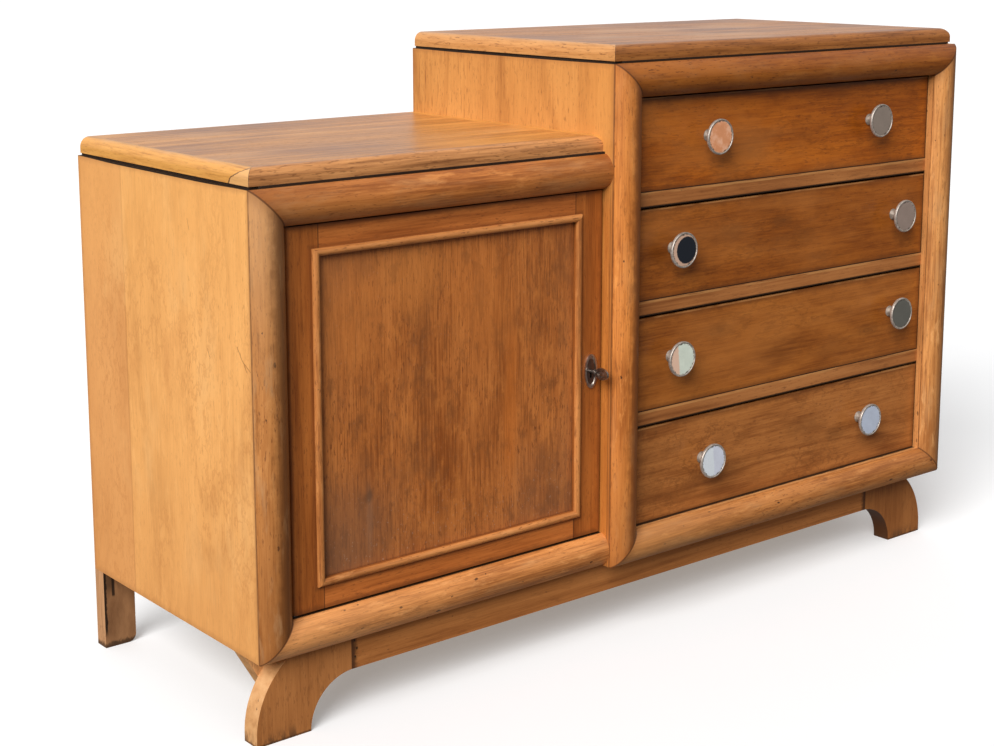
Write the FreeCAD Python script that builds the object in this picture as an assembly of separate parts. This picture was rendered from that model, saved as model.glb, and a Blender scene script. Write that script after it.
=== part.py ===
import FreeCAD, Part
import math
import os

# Stepped commode: a low cabinet with one door beside a taller chest of four drawers, both framed by
# half-round mouldings, on bracket feet in front and plain legs behind.
# Millimetres, +Z up, the front faces -Y. The origin is on the floor, in the middle of the overall
# width and depth.

# Case
case_width = 1325.0
low_width = 574.0
low_depth = 447.0
front_step = 18.0
leg_height = 114.0
panel_thickness = 18.0
back_thickness = 6.0
floor_thickness = 18.0
frame_depth = 25.0

# Half-round mouldings round the two fronts
moulding_width = 48.0
moulding_flank = 2.5
moulding_crown = 15.5

# Tops, carried on the top rails a little above the sides
top_thickness = 22.0
top_shadow_gap = 3.0
top_inset = 4.0
top_edge_radius = 14.0
packing_inset = 6.0

# Feet and apron
apron_setback = 10.0
apron_height = 47.0
apron_thickness = 20.0
foot_thickness = 30.0
foot_floor_inset = 0.0
foot_floor_width = 81.0
foot_toe_height = 12.0
foot_outer_sweep = 57.0
foot_inner_sweep = 64.0
brace_outer_inset = 2.0
brace_top_width = 123.0
brace_lean = 33.0
brace_toe_width = 18.0
brace_toe_height = 58.0
brace_thickness = 27.0
rear_leg_width = 48.0
rear_leg_thickness = 25.0
rear_leg_round = 12.0

# Door
door_opening = 501.0
door_gap = 2.5
door_recess = 2.0
door_thickness = 20.0
door_stile_width = 49.0
door_rail_width = 40.0
door_panel_thickness = 8.0
door_panel_recess = 4.0
groove_depth = 8.0
bead_width = 10.0
bead_flank = 1.5
bead_crown = 4.5

# Pivots at the top and bottom of the hinge stile
pivot_pin_radius = 3.0
pivot_pin_length = 13.0
pivot_clearance = 0.05
pivot_plate_length = 34.0
pivot_plate_width = 14.0
pivot_plate_thickness = 2.5
pivot_plate_lead = 7.0
pivot_collar_radius = 6.0
pivot_end_room = 1.0

# Lock, key and strike
lock_rise = 240.0
lock_width = 34.0
lock_height = 60.0
lock_depth = 12.0
lock_wall = 1.5
bolt_length = 26.0
bolt_height = 10.0
bolt_thickness = 6.0
bolt_throw = 10.0
bolt_clearance = 0.3
strike_length = 36.0
strike_width = 15.0
strike_thickness = 1.5
strike_clearance = 1.0
key_shank_radius = 2.5
key_collar_radius = 4.0
key_collar_length = 3.0
key_stand_off = 12.0
key_bow_length = 25.0
key_bow_height = 17.0
key_bow_rim = 4.0
key_bow_thickness = 3.0
key_bit_reach = 9.5
key_bit_thickness = 2.8
key_clearance = 0.3
escutcheon_height = 49.0
escutcheon_width = 23.0
escutcheon_thickness = 1.2
escutcheon_rim_width = 3.0
escutcheon_rim_height = 2.6

# Drawers, from the top one down
drawer_1_opening = 137.0
drawer_2_opening = 135.0
drawer_3_opening = 141.0
drawer_4_opening = 147.0
rail_height = 22.0
rail_depth = 60.0
drawer_recess = 10.0
drawer_side_gap = 2.0
drawer_top_gap = 3.5
running_clearance = 0.3
drawer_front_thickness = 20.0
drawer_side_thickness = 12.0
drawer_side_drop = 8.0
drawer_bottom_thickness = 5.0
drawer_bottom_rise = 9.0
drawer_groove = 6.0
drawer_back_room = 14.0
runner_height = 18.0
guide_height = 22.0
guide_clearance = 0.6

# Knobs: flat discs on narrow stems, each held by a screw from inside
knob_projection = 27.0
knob_disc_radius = 26.0
knob_disc_thickness = 6.0
knob_disc_edge = 1.5
knob_stem_radius = 5.5
knob_base_radius = 9.0
knob_base_height = 2.0
knob_flare = 5.0
knob_rise = 6.0
knob_offset_near = 181.0
knob_offset_far = 250.0
screw_radius = 2.0
screw_head_radius = 4.5
screw_head_height = 3.0
screw_bite = 12.0

# Shelf on pegs inside the cabinet
shelf_thickness = 18.0
shelf_height = 250.0
shelf_front_room = 45.0
shelf_end_room = 1.0
peg_radius = 3.5
peg_bite = 9.0
peg_reach = 12.0
peg_inset = 50.0
peg_clearance = 0.05

joint_fit = 0.1
V = FreeCAD.Vector

# Derived places
left = -case_width / 2
right = case_width / 2
step_x = left + low_width
tall_depth = low_depth + front_step
moulding_depth = moulding_flank + moulding_crown
overall_depth = tall_depth + max(moulding_depth, knob_projection - drawer_recess)
back = overall_depth / 2
low_front = back - low_depth
tall_front = back - tall_depth
inner_back = back - back_thickness
case_bottom = leg_height
floor_top = case_bottom + floor_thickness
sill_top = case_bottom + moulding_width
drawer_openings = [drawer_1_opening, drawer_2_opening, drawer_3_opening, drawer_4_opening]
low_opening_top = sill_top + door_opening
low_side_top = low_opening_top + moulding_width
tall_opening_top = sill_top + sum(drawer_openings) + rail_height * (len(drawer_openings) - 1)
tall_side_top = tall_opening_top + moulding_width

nodes = {}


def block(x0, x1, y0, y1, z0, z1):
    """A rectangular board between two corners."""
    return Part.makeBox(x1 - x0, y1 - y0, z1 - z0, V(x0, y0, z0))


def rod(radius, start, along):
    """A round bar from a point, as long as the vector along it."""
    return Part.makeCylinder(radius, along.Length, start, along)


def closed_face(edges):
    """A flat face inside a closed run of edges."""
    return Part.Face(Part.Wire([edge.toShape() for edge in edges]))


def plate_xz(points, y0, y1):
    """A board whose outline lies in the XZ plane, from y0 to y1."""
    corners = [V(x, y0, z) for x, z in points]
    return Part.Face(Part.makePolygon(corners + corners[:1])).extrude(V(0, y1 - y0, 0))


def half_round(place, a0, a1, flank, crown):
    """A flat-backed half-round section. place() turns (across, forward) into a point."""
    side0 = place(a0, flank)
    side1 = place(a1, flank)
    top = place((a0 + a1) / 2, flank + crown)
    return closed_face([
        Part.LineSegment(place(a0, 0), side0),
        Part.Arc(side0, top, side1),
        Part.LineSegment(side1, place(a1, 0)),
        Part.LineSegment(place(a1, 0), place(a0, 0)),
    ])


def upright_bar(x0, x1, y, z0, z1, flank, crown):
    """A half-round bar standing on end, its flat back at y."""
    face = half_round(lambda across, forward: V(across, y - forward, z0), x0, x1, flank, crown)
    return face.extrude(V(0, 0, z1 - z0))


def level_bar(z0, z1, y, x0, x1, flank, crown):
    """A half-round bar lying level, its flat back at y."""
    face = half_round(lambda across, forward: V(x0, y - forward, across), z0, z1, flank, crown)
    return face.extrude(V(x1 - x0, 0, 0))


def mitred(bar, outline, y, depth):
    """The part of a bar inside an outline seen from the front, which cuts its mitres."""
    return bar.common(plate_xz(outline, y - depth, y))


def frame_bars(x0, x1, z0, z1, y, width, flank, crown):
    """Left, right, top and bottom bars of a frame mitred at its four corners."""
    depth = flank + crown
    a0, a1, b0, b1 = x0 + width, x1 - width, z0 + width, z1 - width
    return {
        "left": mitred(upright_bar(x0, a0, y, z0, z1, flank, crown),
                       [(x0, z0), (x0, z1), (a0, b1), (a0, b0)], y, depth),
        "right": mitred(upright_bar(a1, x1, y, z0, z1, flank, crown),
                        [(x1, z0), (x1, z1), (a1, b1), (a1, b0)], y, depth),
        "top": mitred(level_bar(b1, z1, y, x0, x1, flank, crown),
                      [(x0, z1), (x1, z1), (a1, b1), (a0, b1)], y, depth),
        "bottom": mitred(level_bar(z0, b0, y, x0, x1, flank, crown),
                         [(x0, z0), (x1, z0), (a1, b0), (a0, b0)], y, depth),
    }


def rounded_slab(x0, x1, y0, y1, z0, z1, radius, round_right):
    """A top whose front, left and, if asked, right upper edges are rounded, mitred at the corners."""
    r = min(radius, z1 - z0)
    bend = r * (1 - math.sqrt(0.5))
    front = [Part.LineSegment(V(x0, y1, z0), V(x0, y0, z0))]
    if r < z1 - z0:
        front.append(Part.LineSegment(V(x0, y0, z0), V(x0, y0, z1 - r)))
    front += [
        Part.Arc(V(x0, y0, z1 - r), V(x0, y0 + bend, z1 - bend), V(x0, y0 + r, z1)),
        Part.LineSegment(V(x0, y0 + r, z1), V(x0, y1, z1)),
        Part.LineSegment(V(x0, y1, z1), V(x0, y1, z0)),
    ]
    slab = closed_face(front).extrude(V(x1 - x0, 0, 0))
    slab = slab.cut(edge_waste(x0, 1, y0, y1, z1, r))
    if round_right:
        slab = slab.cut(edge_waste(x1, -1, y0, y1, z1, r))
    return slab


def edge_waste(x, inward, y0, y1, z, r):
    """The wood to cut away from the upper edge of a slab's end at x to round it."""
    bend = r * (1 - math.sqrt(0.5))
    corner = V(x, y0, z)
    low = V(x, y0, z - r)
    high = V(x + inward * r, y0, z)
    mid = V(x + inward * bend, y0, z - bend)
    face = closed_face([
        Part.LineSegment(corner, low),
        Part.Arc(low, mid, high),
        Part.LineSegment(high, corner),
    ])
    return face.extrude(V(0, y1 - y0, 0))


def ellipse_plate(x, z, width, height, y0, y1):
    """An upright oval plate facing the front."""
    long_way = height >= width
    major = V(x, y0, z + height / 2) if long_way else V(x + width / 2, y0, z)
    minor = V(x + width / 2, y0, z) if long_way else V(x, y0, z + height / 2)
    edge = Part.Ellipse(major, minor, V(x, y0, z)).toShape()
    return Part.Face(Part.Wire([edge])).extrude(V(0, y1 - y0, 0))


def swept_arc(place, u0, z0, sweep, z1):
    """An arc that leaves (u0, z0) straight up and bends inward by sweep on its way to z1."""
    rise = z1 - z0
    radius = (sweep ** 2 + rise ** 2) / (2 * sweep)
    half_turn = math.atan2(rise, radius - sweep) / 2
    mid = place(u0 + radius * (1 - math.cos(half_turn)), z0 + radius * math.sin(half_turn))
    return Part.Arc(place(u0, z0), mid, place(u0 + sweep, z1))


# Places of the door and its lock
door_x0 = left + moulding_width + door_gap
door_x1 = step_x - door_gap
door_z0 = sill_top + door_gap
door_z1 = low_opening_top - door_gap
door_y0 = low_front + door_recess
door_y1 = door_y0 + door_thickness
pivot_x = door_x0 + door_thickness / 2
pivot_y = door_y0 + door_thickness / 2
key_x = door_x1 - (door_stile_width - bead_width) / 2
key_z = door_z0 + lock_rise
lock_right = key_x + lock_width / 2
bolt_y0 = door_y1 + (lock_depth - lock_wall - bolt_thickness) / 2
bolt_y1 = bolt_y0 + bolt_thickness
bolt_z0 = key_z + key_bit_reach + strike_clearance
bolt_z1 = bolt_z0 + bolt_height
shelf_z = floor_top + shelf_height


def peg_places():
    """Where the four shelf pegs leave the cabinet's sides, and which way they point."""
    y_front = low_front + shelf_front_room + peg_inset
    y_rear = inner_back - peg_inset
    z = shelf_z - peg_radius - joint_fit
    for x, way in ((left + panel_thickness, 1), (step_x, -1)):
        for y in (y_front, y_rear):
            yield V(x, y, z), V(way, 0, 0)


def side_panels():
    """The three uprights, with the peg holes, the strike's seat and the bolt's mortise."""
    low_side = block(left, left + panel_thickness, low_front, back, case_bottom, low_side_top)
    tall_left = block(step_x, step_x + panel_thickness, tall_front, back, case_bottom, tall_side_top)
    for point, way in peg_places():
        hole = rod(peg_radius + peg_clearance, point, way * -(peg_bite + peg_clearance))
        low_side = low_side.cut(hole)
        tall_left = tall_left.cut(hole)
    tall_left = tall_left.cut(strike_outline(strike_thickness, joint_fit))
    tall_left = tall_left.cut(bolt_way(step_x, lock_right + bolt_throw + strike_clearance))
    nodes["low_side_panel"] = low_side
    nodes["tall_left_panel"] = tall_left
    nodes["tall_right_panel"] = block(right - panel_thickness, right, tall_front, back,
                                      case_bottom, tall_side_top)


def strike_outline(depth, spare):
    """The strike's plate, let into the tall section's side."""
    y = (bolt_y0 + bolt_y1) / 2
    z = (bolt_z0 + bolt_z1) / 2
    half_width = strike_width / 2 + spare
    half_length = strike_length / 2 + spare
    return block(step_x, step_x + depth, y - half_width, y + half_width, z - half_length, z + half_length)


def bolt_way(x0, x1):
    """The room that the lock's bolt needs in the strike and the panel."""
    room = strike_clearance
    return block(x0, x1, bolt_y0 - room, bolt_y1 + room, bolt_z0 - room, bolt_z1 + room)


def pivot_pocket(z, up):
    """Room for a case plate and the end of a door pin, let into a rail from z, upwards or downwards."""
    plate = pivot_plate(z, up, joint_fit)
    deep = pivot_pin_length - door_gap + pivot_end_room
    return plate.fuse(rod(pivot_pin_radius + pivot_end_room, V(pivot_x, pivot_y, z), V(0, 0, up * deep)))


def pivot_plate(z, up, spare):
    """A thin plate about the pivot, from height z into the wood above or below it."""
    z_far = z + up * (pivot_plate_thickness + spare)
    x0 = pivot_x - pivot_plate_lead
    half = pivot_plate_width / 2 + spare
    return block(x0 - spare, x0 + pivot_plate_length + spare, pivot_y - half, pivot_y + half,
                 min(z, z_far), max(z, z_far))


def case_frame():
    """Floors, backs, hidden front posts, top rails with packings, and sills that hold the sides together."""
    nodes["low_floor"] = block(left + panel_thickness, step_x, low_front, inner_back, case_bottom, floor_top)
    nodes["tall_floor"] = block(step_x + panel_thickness, right - panel_thickness, tall_front, inner_back,
                                case_bottom, floor_top)
    nodes["low_back"] = block(left + panel_thickness, step_x, inner_back, back,
                              case_bottom, low_side_top + top_shadow_gap)
    nodes["tall_back"] = block(step_x + panel_thickness, right - panel_thickness, inner_back, back,
                               case_bottom, tall_side_top + top_shadow_gap)
    low_post = block(left + panel_thickness, left + moulding_width, low_front, low_front + frame_depth,
                     floor_top, low_opening_top)
    tall_posts = [block(x0, x1, tall_front, tall_front + frame_depth, floor_top, tall_opening_top)
                  for x0, x1 in ((step_x + panel_thickness, step_x + moulding_width),
                                 (right - moulding_width, right - panel_thickness))]
    nodes["front_posts"] = Part.makeCompound([low_post] + tall_posts)
    low_rail = block(left + panel_thickness, step_x, low_front, low_front + frame_depth,
                     low_opening_top, low_side_top + top_shadow_gap)
    low_rear_rail = block(left + panel_thickness, step_x, inner_back - frame_depth, inner_back,
                          low_opening_top, low_side_top + top_shadow_gap)
    low_rail = low_rail.cut(pivot_pocket(low_opening_top, 1))
    nodes["low_top_rails"] = Part.makeCompound([
        low_rail, low_rear_rail, top_packing(left, left + panel_thickness, low_front, low_side_top)])
    tall_rails = [block(step_x + panel_thickness, right - panel_thickness, y, y + frame_depth,
                        tall_opening_top, tall_side_top + top_shadow_gap)
                  for y in (tall_front, inner_back - frame_depth)]
    tall_sides = [(step_x, step_x + panel_thickness), (right, right - panel_thickness)]
    tall_packings = [top_packing(outer, inner, tall_front, tall_side_top) for outer, inner in tall_sides]
    nodes["tall_top_rails"] = Part.makeCompound(tall_rails + tall_packings)
    low_sill = block(left + moulding_width, step_x, low_front, low_front + frame_depth, floor_top, sill_top)
    nodes["low_sill"] = low_sill.cut(pivot_pocket(sill_top, -1))
    nodes["tall_sill"] = block(step_x + moulding_width, right - moulding_width, tall_front, rail_back,
                               floor_top, sill_top)


def top_packing(outer, inner, front, z):
    """A thin strip on a side's upper edge, set in from its outer face, that carries the end of a top."""
    edge = outer + math.copysign(packing_inset, inner - outer)
    return block(min(edge, inner), max(edge, inner), front + packing_inset, back, z, z + top_shadow_gap)


def tops():
    """The two tops. The low one ends square against the tall section's side."""
    low_z = low_side_top + top_shadow_gap
    tall_z = tall_side_top + top_shadow_gap
    nodes["low_top"] = rounded_slab(left + top_inset, step_x, low_front + top_inset, back,
                                    low_z, low_z + top_thickness, top_edge_radius, False)
    nodes["tall_top"] = rounded_slab(step_x + top_inset, right - top_inset, tall_front + top_inset, back,
                                     tall_z, tall_z + top_thickness, top_edge_radius, True)


def front_mouldings():
    """Half-round mouldings. The low ones butt against the tall section's side, the rest are mitred."""
    sizes = (moulding_width, moulding_flank, moulding_crown)
    tall = frame_bars(step_x, right, case_bottom, tall_side_top, tall_front, *sizes)
    low = frame_bars(left, step_x + moulding_width, case_bottom, low_side_top, low_front, *sizes)
    keep = block(left, step_x, low_front - moulding_depth, low_front, case_bottom, low_side_top)
    nodes["low_post_moulding"] = low["left"]
    nodes["low_top_moulding"] = low["top"].common(keep)
    nodes["low_bottom_moulding"] = low["bottom"].common(keep)
    nodes["middle_post_moulding"] = tall["left"]
    nodes["right_post_moulding"] = tall["right"]
    nodes["tall_top_moulding"] = tall["top"]
    nodes["tall_bottom_moulding"] = tall["bottom"]


def feet():
    """Bracket feet and the apron between them, slanted braces behind them, and plain rear legs."""
    apron_front = low_front + apron_setback
    apron_bottom = case_bottom - apron_height
    inner_floor = foot_floor_inset + foot_floor_width
    inner_top = inner_floor + foot_inner_sweep
    outer_top = foot_floor_inset + foot_outer_sweep
    braces = []
    for name, edge, inward in (("front_left_foot", left, 1), ("front_right_foot", right, -1)):
        def place(u, z):
            return V(edge + inward * u, apron_front, z)
        face = closed_face([
            swept_arc(place, foot_floor_inset, foot_toe_height, foot_outer_sweep, case_bottom),
            Part.LineSegment(place(outer_top, case_bottom), place(inner_top, case_bottom)),
            Part.LineSegment(place(inner_top, case_bottom), place(inner_top, apron_bottom)),
            swept_arc(place, inner_floor, 0, foot_inner_sweep, apron_bottom),
            Part.LineSegment(place(inner_floor, 0), place(foot_floor_inset, 0)),
            Part.LineSegment(place(foot_floor_inset, 0), place(foot_floor_inset, foot_toe_height)),
        ])
        nodes[name] = face.extrude(V(0, foot_thickness, 0))
        y0 = apron_front + foot_thickness
        brace_toe = brace_outer_inset + brace_lean
        outline = [(brace_outer_inset, case_bottom), (brace_toe, brace_toe_height),
                   (brace_toe + brace_toe_width, brace_toe_height),
                   (brace_outer_inset + brace_top_width, case_bottom)]
        braces.append(plate_xz([(edge + inward * u, z) for u, z in outline], y0, y0 + brace_thickness))
    nodes["foot_braces"] = Part.makeCompound(braces)
    nodes["front_apron"] = block(left + inner_top, right - inner_top,
                                 apron_front, apron_front + apron_thickness, apron_bottom, case_bottom)
    nodes["rear_left_leg"] = rear_leg(left, 1)
    nodes["rear_right_leg"] = rear_leg(right, -1)


def rear_leg(edge, inward):
    """A plain leg whose inner corner is rounded at the floor."""
    r = min(rear_leg_round, rear_leg_width)
    bend = r * (1 - math.sqrt(0.5))

    def place(u, z):
        return V(edge + inward * u, back - rear_leg_thickness, z)

    face = closed_face([
        Part.LineSegment(place(0, case_bottom), place(0, 0)),
        Part.LineSegment(place(0, 0), place(rear_leg_width - r, 0)),
        Part.Arc(place(rear_leg_width - r, 0), place(rear_leg_width - bend, bend), place(rear_leg_width, r)),
        Part.LineSegment(place(rear_leg_width, r), place(rear_leg_width, case_bottom)),
        Part.LineSegment(place(rear_leg_width, case_bottom), place(0, case_bottom)),
    ])
    return face.extrude(V(0, rear_leg_thickness, 0))


def shelf():
    """A loose shelf on four pegs."""
    nodes["cabinet_shelf"] = block(left + panel_thickness + shelf_end_room, step_x - shelf_end_room,
                                   low_front + shelf_front_room, inner_back - shelf_end_room,
                                   shelf_z, shelf_z + shelf_thickness)
    nodes["shelf_pegs"] = Part.makeCompound([
        rod(peg_radius, point - way * peg_bite, way * (peg_bite + peg_reach)) for point, way in peg_places()])


def door():
    """A framed door with a grooved-in panel, a planted bead, pivots and the keyhole."""
    inner_x0 = door_x0 + door_stile_width
    inner_x1 = door_x1 - door_stile_width
    inner_z0 = door_z0 + door_rail_width
    inner_z1 = door_z1 - door_rail_width
    panel_y0 = door_y0 + door_panel_recess
    panel_y1 = panel_y0 + door_panel_thickness
    groove = block(inner_x0 - groove_depth - joint_fit, inner_x1 + groove_depth + joint_fit,
                   panel_y0 - joint_fit, panel_y1 + joint_fit,
                   inner_z0 - groove_depth - joint_fit, inner_z1 + groove_depth + joint_fit)
    rounded_edge = rod(door_thickness / 2, V(pivot_x, pivot_y, door_z0), V(0, 0, door_z1 - door_z0))
    left_stile = block(pivot_x, inner_x0, door_y0, door_y1, door_z0, door_z1)
    left_stile = left_stile.fuse(rounded_edge).removeSplitter()
    for z, into in ((door_z1, -1), (door_z0, 1)):
        left_stile = left_stile.cut(pivot_plate(z, into, joint_fit))
    right_stile = block(inner_x1, door_x1, door_y0, door_y1, door_z0, door_z1)
    right_stile = right_stile.cut(keyhole(door_y0, door_y1))
    nodes["door_left_stile"] = left_stile.cut(groove)
    nodes["door_right_stile"] = right_stile.cut(groove)
    nodes["door_top_rail"] = block(inner_x0, inner_x1, door_y0, door_y1, inner_z1, door_z1).cut(groove)
    nodes["door_bottom_rail"] = block(inner_x0, inner_x1, door_y0, door_y1, door_z0, inner_z0).cut(groove)
    nodes["door_panel"] = block(inner_x0 - groove_depth, inner_x1 + groove_depth, panel_y0, panel_y1,
                                inner_z0 - groove_depth, inner_z1 + groove_depth)
    bead = frame_bars(inner_x0 - bead_width, inner_x1 + bead_width,
                      inner_z0 - bead_width, inner_z1 + bead_width,
                      door_y0, bead_width, bead_flank, bead_crown)
    nodes["door_bead"] = Part.makeCompound(list(bead.values()))


def pivots():
    """Plates with pins let into the door's ends, and bored plates let into the case to take them."""
    pins = []
    case_plates = []
    for door_z, case_z, up in ((door_z1, low_opening_top, 1), (door_z0, sill_top, -1)):
        pin = rod(pivot_pin_radius, V(pivot_x, pivot_y, door_z), V(0, 0, up * pivot_pin_length))
        plate = pivot_plate(door_z, -up, 0).fuse(pin)
        if up < 0:
            collar_height = door_gap - pivot_clearance
            collar = rod(pivot_collar_radius, V(pivot_x, pivot_y, door_z), V(0, 0, up * collar_height))
            plate = plate.fuse(collar)
        pins.append(plate)
        bore = rod(pivot_pin_radius + pivot_clearance, V(pivot_x, pivot_y, case_z),
                   V(0, 0, up * pivot_pin_length))
        case_plates.append(pivot_plate(case_z, up, 0).cut(bore))
    nodes["door_pivot_pins"] = Part.makeCompound(pins)
    nodes["case_pivot_plates"] = Part.makeCompound(case_plates)


def keyhole(y0, y1):
    """A round hole for the key's shank with a slot below it for the bit."""
    hole = rod(key_shank_radius + key_clearance, V(key_x, y0, key_z), V(0, y1 - y0, 0))
    half = key_bit_thickness / 2 + key_clearance
    reach = key_bit_reach + key_clearance
    return hole.fuse(block(key_x - half, key_x + half, y0, y1, key_z - reach, key_z))


def lock():
    """A rim lock on the back of the door, its bolt drawn in, with its key, escutcheon and strike."""
    case_y1 = door_y1 + lock_depth
    lock_z0 = key_z - lock_height / 2
    lock_z1 = key_z + lock_height / 2
    shell = block(key_x - lock_width / 2, lock_right, door_y1, case_y1, lock_z0, lock_z1)
    room = block(key_x - lock_width / 2 + lock_wall, lock_right - lock_wall, door_y1, case_y1 - lock_wall,
                 lock_z0 + lock_wall, lock_z1 - lock_wall)
    slot = block(lock_right - lock_wall, lock_right, bolt_y0 - bolt_clearance, bolt_y1 + bolt_clearance,
                 bolt_z0 - bolt_clearance, bolt_z1 + bolt_clearance)
    nodes["lock_case"] = shell.cut(room).cut(slot)
    nodes["lock_bolt"] = block(lock_right - bolt_length, lock_right, bolt_y0, bolt_y1, bolt_z0, bolt_z1)
    strike = strike_outline(strike_thickness, 0)
    nodes["strike_plate"] = strike.cut(bolt_way(step_x, step_x + strike_thickness))
    rim_front = door_y0 - escutcheon_rim_height
    plate = ellipse_plate(key_x, key_z, escutcheon_width, escutcheon_height, rim_front, door_y0)
    hollow = ellipse_plate(key_x, key_z, escutcheon_width - 2 * escutcheon_rim_width,
                           escutcheon_height - 2 * escutcheon_rim_width,
                           rim_front, door_y0 - escutcheon_thickness)
    nodes["escutcheon"] = plate.cut(hollow).cut(keyhole(rim_front, door_y0))
    bow_back = door_y0 - key_stand_off
    bow_centre = bow_back - key_bow_length / 2
    bow = bow_ring(bow_centre)
    shank = rod(key_shank_radius, V(key_x, bow_back - key_bow_rim / 2, key_z),
                V(0, bolt_y1 - bow_back + key_bow_rim / 2, 0))
    collar = rod(key_collar_radius, V(key_x, bow_back, key_z), V(0, key_collar_length, 0))
    bit = block(key_x - key_bit_thickness / 2, key_x + key_bit_thickness / 2, bolt_y0, bolt_y1,
                key_z - key_bit_reach, key_z)
    nodes["key"] = bow.fuse(shank).fuse(collar).fuse(bit).removeSplitter()


def bow_ring(y):
    """The key's oval bow, a flat ring in the plane of its bit, centred at y."""
    x0 = key_x - key_bow_thickness / 2

    def oval(length, height):
        edge = Part.Ellipse(V(x0, y + length / 2, key_z), V(x0, y, key_z + height / 2), V(x0, y, key_z))
        return Part.Face(Part.Wire([edge.toShape()])).extrude(V(key_bow_thickness, 0, 0))

    return oval(key_bow_length, key_bow_height).cut(
        oval(key_bow_length - 2 * key_bow_rim, key_bow_height - 2 * key_bow_rim))


# Places that all the drawers share
rail_front = tall_front + drawer_recess
rail_back = rail_front + rail_depth
opening_x0 = step_x + moulding_width
opening_x1 = right - moulding_width
box_x0 = opening_x0 + drawer_side_gap
box_x1 = opening_x1 - drawer_side_gap
box_front = rail_front + drawer_front_thickness
box_back = inner_back - drawer_back_room


def drawer_levels():
    """The bottom and top of each drawer's opening, from the top drawer down."""
    top = tall_opening_top
    for height in drawer_openings:
        yield top - height, top
        top -= height + rail_height


def drawer_bearers():
    """The rails between the drawers, and the rebated runners that carry and guide their sides."""
    levels = list(drawer_levels())
    nodes["drawer_rails"] = Part.makeCompound([
        block(opening_x0, opening_x1, rail_front, rail_back, z0 - rail_height, z0) for z0, z1 in levels[:-1]])
    runners = []
    reach = drawer_side_thickness + drawer_side_gap
    for z0, z1 in levels:
        for wall, lip, guide in ((step_x + panel_thickness, opening_x0 + reach, box_x0 - guide_clearance),
                                 (right - panel_thickness, opening_x1 - reach, box_x1 + guide_clearance)):
            runner = block(min(wall, lip), max(wall, lip), rail_back, inner_back, z0 - runner_height, z0)
            fence = block(min(wall, guide), max(wall, guide), rail_back, inner_back, z0, z0 + guide_height)
            runners.append(runner.fuse(fence).removeSplitter())
    nodes["drawer_runners"] = Part.makeCompound(runners)


def drawer(number, z0, z1, knob_offset):
    """One drawer: a front, two sides and a back, a bottom let into grooves, and two knobs."""
    bottom = z0 + running_clearance
    top = z1 - drawer_top_gap
    side_top = top - drawer_side_drop
    board_z0 = bottom + drawer_bottom_rise
    board_z1 = board_z0 + drawer_bottom_thickness
    groove = block(box_x0 + drawer_side_thickness - drawer_groove - joint_fit,
                   box_x1 - drawer_side_thickness + drawer_groove + joint_fit,
                   box_front - drawer_groove - joint_fit, box_back,
                   board_z0 - joint_fit, board_z1 + joint_fit)
    front = block(box_x0, box_x1, rail_front, box_front, bottom, top).cut(groove)
    knob_z = (bottom + top) / 2 + knob_rise
    middle = (box_x0 + box_x1) / 2
    knobs = []
    for x in (middle - knob_offset, middle + knob_offset):
        hole = rod(screw_radius + joint_fit, V(x, rail_front, knob_z), V(0, drawer_front_thickness, 0))
        front = front.cut(hole)
        knobs += [knob(x, knob_z), knob_screw(x, knob_z)]
    sides = [block(x0, x0 + drawer_side_thickness, box_front, box_back, bottom, side_top).cut(groove)
             for x0 in (box_x0, box_x1 - drawer_side_thickness)]
    rear = block(box_x0 + drawer_side_thickness, box_x1 - drawer_side_thickness,
                 box_back - drawer_side_thickness, box_back, board_z1, side_top)
    board = block(box_x0 + drawer_side_thickness - drawer_groove,
                  box_x1 - drawer_side_thickness + drawer_groove,
                  box_front - drawer_groove, box_back, board_z0, board_z1)
    nodes[f"drawer_{number}_front"] = front
    nodes[f"drawer_{number}_sides"] = Part.makeCompound(sides + [rear])
    nodes[f"drawer_{number}_bottom"] = board
    nodes[f"drawer_{number}_knobs"] = Part.makeCompound(knobs)


def knob(x, z):
    """A turned knob on the drawer's face, bored for its screw."""
    def place(radius, forward):
        return V(x + radius, rail_front - forward, z)
    disc_back = knob_projection - knob_disc_thickness
    bore = screw_radius + joint_fit
    rim = knob_disc_radius
    edge = knob_disc_edge
    points = [(0, screw_bite), (bore, screw_bite), (bore, 0), (knob_base_radius, 0),
              (knob_base_radius, knob_base_height), (knob_stem_radius, knob_base_height + knob_flare),
              (knob_stem_radius, disc_back - knob_flare), (knob_base_radius, disc_back),
              (rim - edge, disc_back), (rim, disc_back + edge), (rim, knob_projection - edge),
              (rim - edge, knob_projection), (0, knob_projection)]
    corners = [place(*point) for point in points]
    face = Part.Face(Part.makePolygon(corners + corners[:1]))
    return face.revolve(V(x, rail_front, z), V(0, 1, 0), 360)


def knob_screw(x, z):
    """The screw that holds a knob, its head against the back of the drawer front."""
    shank = rod(screw_radius, V(x, rail_front - screw_bite + joint_fit, z),
                V(0, drawer_front_thickness + screw_bite - joint_fit, 0))
    return shank.fuse(rod(screw_head_radius, V(x, box_front, z), V(0, screw_head_height, 0)))


def build():
    side_panels()
    case_frame()
    tops()
    front_mouldings()
    feet()
    shelf()
    door()
    pivots()
    lock()
    drawer_bearers()
    offsets = [knob_offset_near, knob_offset_far, knob_offset_far, knob_offset_near]
    for number, ((z0, z1), offset) in enumerate(zip(drawer_levels(), offsets), start=1):
        drawer(number, z0, z1, offset)


build()
os.makedirs("parts", exist_ok=True)
for node, shape in nodes.items():
    shape.exportStep(f"parts/{node}.step")
print(len(nodes), "nodes")
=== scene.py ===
import math
from functools import partialmethod
import bmesh
import bpy
from mathutils import Matrix, Vector


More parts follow.
